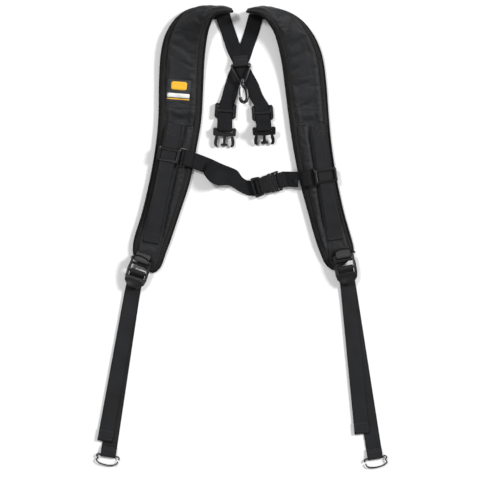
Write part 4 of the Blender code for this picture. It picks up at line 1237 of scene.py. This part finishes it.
def sternum_slider(side):
    """Side bars and loop rounded over, standing a little above the two cross bars."""
    turn = SIDES[side]["turn"]
    top, down, _ = rail_line(side)
    where = placed(top + down * SIDES[side]["slider_drop"], rail_angle(side))

    def rounded_over(point):
        x, y, z = point
        if z > 15.7:
            if x * turn < 18.3:
                z -= ((abs(x) - 15.8) / 2.4) ** 2 if abs(x) > 13.1 else 1.1
            z -= 0.8 * step(abs(y), 9.0, 11.5)
        return Vector((x, y, z))

    sides = [x * sign for sign in (-1, 1) for x in (13.8, 14.5, 15.2, 16.0, 16.8, 17.5)]
    cuts = (("x", sides), ("y", (-9.5, -8.4, 8.4, 9.5)))
    return hardware(f"sternum_slider_{side}", 0.6, rounded_over, where, cuts)


def rear_buckle(side):
    """Its window is drawn in to the webbing."""
    data, window = REAR_BUCKLES[side], REAR_WIDTH / 2 + 0.8

    def closed_in(point):
        x, y, z = point
        return Vector((narrowed(x, window, window - 0.6), y, z))

    return hardware(f"rear_male_buckle_{side}", 0.5, closed_in, placed(data["bar"], data["angle"], data["pitch"]))


def tri_glide(side):
    """Its middle bar is rounded over, and its windows are drawn in to the webbing."""
    x, y, angle = TRI_GLIDES[side]

    def shaped(point):
        x, y, z = point
        if z > 7 and abs(y) < 3:
            z -= 0.5 * (y / 2.2) ** 2
        return Vector((narrowed(x, REAR_WIDTH / 2 + 2.4, REAR_WIDTH / 2 + 0.9), y, z))

    cuts = (("y", (-1.6, -0.9, 0.0, 0.9, 1.6)),)
    return hardware(f"tri_glide_{side}", 0.7, shaped, placed((x, y, 0), angle), cuts)


def ladder_lock(side):
    """Its thumb tab turns up so that it can be lifted, and its crossbar slopes away."""
    data = SIDES[side]
    where = placed((*data["lock_bar"], LOCK_BAR_HEIGHT), data["lock_angle"], LOCK_PITCH)

    def bulge(point):
        x, y, z = point
        rise = 3.4 * step(-y, 32, 45.5) * max(0.0, 1 - (x / 17.5) ** 2)
        if abs(x) < 14.3 and -11 < y < -4.9 and z > 0:
            rise -= 1.7 * step(-y, 4.9, 10.8)
        side_rise = 0.7 * step(abs(x), 13.5, 16.5) * step(-y, 2, 10) * step(y, -34, -24)
        return Vector((narrowed(x, LOCK_WINDOW, LOCK_WINDOW - 1.3), y, z + rise + (side_rise if z > 0 else 0)))

    cuts = (("y", spaced_numbers(-44.5, -29.2, 1.5)), ("x", spaced_numbers(-15.5, 15.5, 2.2)))
    return hardware(f"ladder_lock_{side}", 0.7, bulge, where, cuts)


# ---- Label ----


def patch(name, at, angle, half_width, half_height, lift, thick, finish, height, corner):
    """A thin rectangle with rounded corners that lies on the cloth under it."""
    columns, rows = max(8, round(half_width)), max(4, round(half_height))
    right, up = across(angle), heading(angle)
    rings, marks = [], []
    for i in range(rows + 1):
        t = -1 + 2 * i / rows
        into_corner = max(0.0, abs(t) * half_height - half_height + corner)
        wide = half_width - corner + sqrt(max(0.0, corner ** 2 - into_corner ** 2))
        top_side, under, mark = [], [], []
        for j in range(columns + 1):
            s = -1 + 2 * j / columns
            here = at + right * s * wide + up * t * half_height
            z = height(here.x, here.y) + lift
            edge = min((1 - abs(s)) * wide, (1 - abs(t)) * half_height)
            top_side.append(here + UP * (z + thick * (0.35 + 0.65 * step(edge, 0, 0.8))))
            under.append(here + UP * (z - 0.15))
            mark.append((s * wide, t * half_height))
        rings.append(top_side + under[::-1])
        marks.append(mark + mark[::-1])
    made = sweep(name, rings, marks, [finish])
    return dress(made, "label")


def label():
    """Woven label on the left pad: a plain rounded patch over a pale strip and a thin line."""
    height = surface_of("pad_left")
    at, angle = Vector((-102.6, 233.2, 0)), -4.5
    right, up = across(angle), heading(angle)
    ground = patch("label_ground", at, angle, 18.6, 18.0, 0.25, 0.45, LABEL_BASE, height, 1.2)
    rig.replaces(ground, "label_patch")
    height = surface_of(ground.name)
    patch("label_emblem", at + up * 8.0, angle, 12.6, 6.6, 0.0, 0.4, LABEL_AMBER, height, 2.8)
    patch("label_strip", at + up * -7.6, angle, 18.0, 3.4, 0.0, 0.4, LABEL_PALE, height, 0.6)
    patch("label_line", at + up * -13.2, angle, 18.0, 0.9, 0.0, 0.35, LABEL_AMBER, height, 0.4)
    runs = box_run(at, up, right, 34.8, 36.0)
    stitches("label_stitching", runs, height, 1.6, 0.7, 0.2)


# ---- Pad stitching ----


def pad_stitching(side):
    """Rows beside the seams and along the folds, and where the rail webbing is sewn down."""
    height = surface_of(f"pad_{side}", f"rail_strap_{side}")
    rows = pad_rows(side)
    runs = []
    for u, shift in ((OUTER_SEAM, 2.6), (INNER_SEAM, -2.6)):
        runs.append([row[0].lerp(row[1], u) + (row[1] - row[0]).normalized() * shift for row in rows[6:-12]])
    top, down, length = rail_line(side)
    data = SIDES[side]
    tilt = tan(radians(data["fold_tilt"]))
    for line in data["fold_lines"]:
        row = min(rows, key=lambda r: abs((r[0].y + r[1].y) / 2 - line))
        first, last = row[0].lerp(row[1], OUTER_SEAM + 0.03), row[0].lerp(row[1], INNER_SEAM - 0.03)
        runs.append([Vector((p.x, line + 1.6 + tilt * (p.x - top.x), 0)) for p in (first, last)])
    side_way = leftward(down)
    runs += box_run(top + down * 10.5 - side_way * 2.5 * data["turn"], down, side_way, 13, 12, cross=True)
    for s in (1.6, length - 1.8, length - 3.6):
        runs.append([top + down * s + side_way * 11, top + down * s - side_way * 11])
    for edge in (-11.6, 11.6):
        runs.append([top + down * s + side_way * edge for s in (length - 18, length - 3)])
    return stitches(f"pad_stitching_{side}", runs, height)


def junction_stitching():
    height = surface_of("junction_tab")
    up, right = heading(JUNCTION_TURN), across(JUNCTION_TURN)
    runs = box_run(Vector((*JUNCTION, 0)) + up * 10.6, up, right, 5.5, 20)
    return stitches("junction_stitching", runs, height, 1.8, 0.6)


# ---- The harness ----

PIECES_OF_A_SIDE = (
    pad_body, pad_back, pad_binding, rail_webbing, lock_anchor, end_lip, pad_stitching, lower_strap, wire_hook,
    rear_strap, anchor_tab, sternum_slider, ladder_lock, tri_glide, rear_buckle,
)
for side_name in SIDE_NAMES:
    for build in PIECES_OF_A_SIDE:
        build(side_name)
    hardware(f"sternum_prong_{side_name}")
    for hand in SIDE_NAMES:
        hardware(f"rear_male_buckle_{side_name}_prong_{hand}")
sternum_strap_left()
sternum_strap_right()
junction_tab()
junction_stitching()
label()
hardware("sternum_male_buckle")
hardware("sternum_female_buckle", 0.9)
for small_part in ("triangle_eye", "snap_hook", "snap_hook_gate"):
    hardware(small_part, 0.3)


# ---- Floor, light and camera ----


def floor():
    mesh = bpy.data.meshes.new("floor")
    corners = [(-6, -6), (6, -6), (6, 6), (-6, 6)]
    mesh.from_pydata([(x, y, -0.0002) for x, y in corners], [], [(0, 1, 2, 3)])
    made = Finish("floor_paper", Roughness=0.9, Specular_IOR_Level=0.1)
    made.tint(made.cloud(1.2, 2.0), (0.88, 0.88, 0.88), (0.9, 0.9, 0.9))
    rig.stage(link("floor", mesh, made.made))


def area_light(name, at, aim, size, power):
    data = put(bpy.data.lights.new(name, "AREA"), shape="DISK", size=size, energy=power)
    made = bpy.data.objects.new(name, data)
    scene.collection.objects.link(made)
    made.location = at
    made.rotation_euler = (Vector(aim) - Vector(at)).to_track_quat("-Z", "Y").to_euler()


def stage_and_camera():
    floor()
    world = bpy.data.worlds.new("studio")
    scene.world = world
    world.use_nodes = True
    back = world.node_tree.nodes["Background"].inputs
    back["Color"].default_value, back["Strength"].default_value = (1.0, 1.0, 1.0, 1.0), 0.3
    area_light("key", (5.0, 2.2, 4.1), (0, 0, 0), 1.9, 430)
    area_light("overhead", (-1.15, 1.3, 2.7), (-0.15, 0, 0), 0.6, 42)
    area_light("front", (-0.5, -1.3, 3.0), (0, 0, 0), 0.5, 9)
    camera = put(bpy.data.cameras.new("camera"), lens=187.5, sensor_width=36.0)
    scene.camera = put(bpy.data.objects.new("camera", camera), location=(-0.0048, -0.0048, 4.0))
    scene.collection.objects.link(scene.camera)
    scene.view_settings.view_transform = "Standard"


stage_and_camera()
shown_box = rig.bounds()
with open("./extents.json", "w") as out:
    json.dump({"cad": [list(c) for c in cad_box], "visual": [list(c) for c in shown_box]}, out)
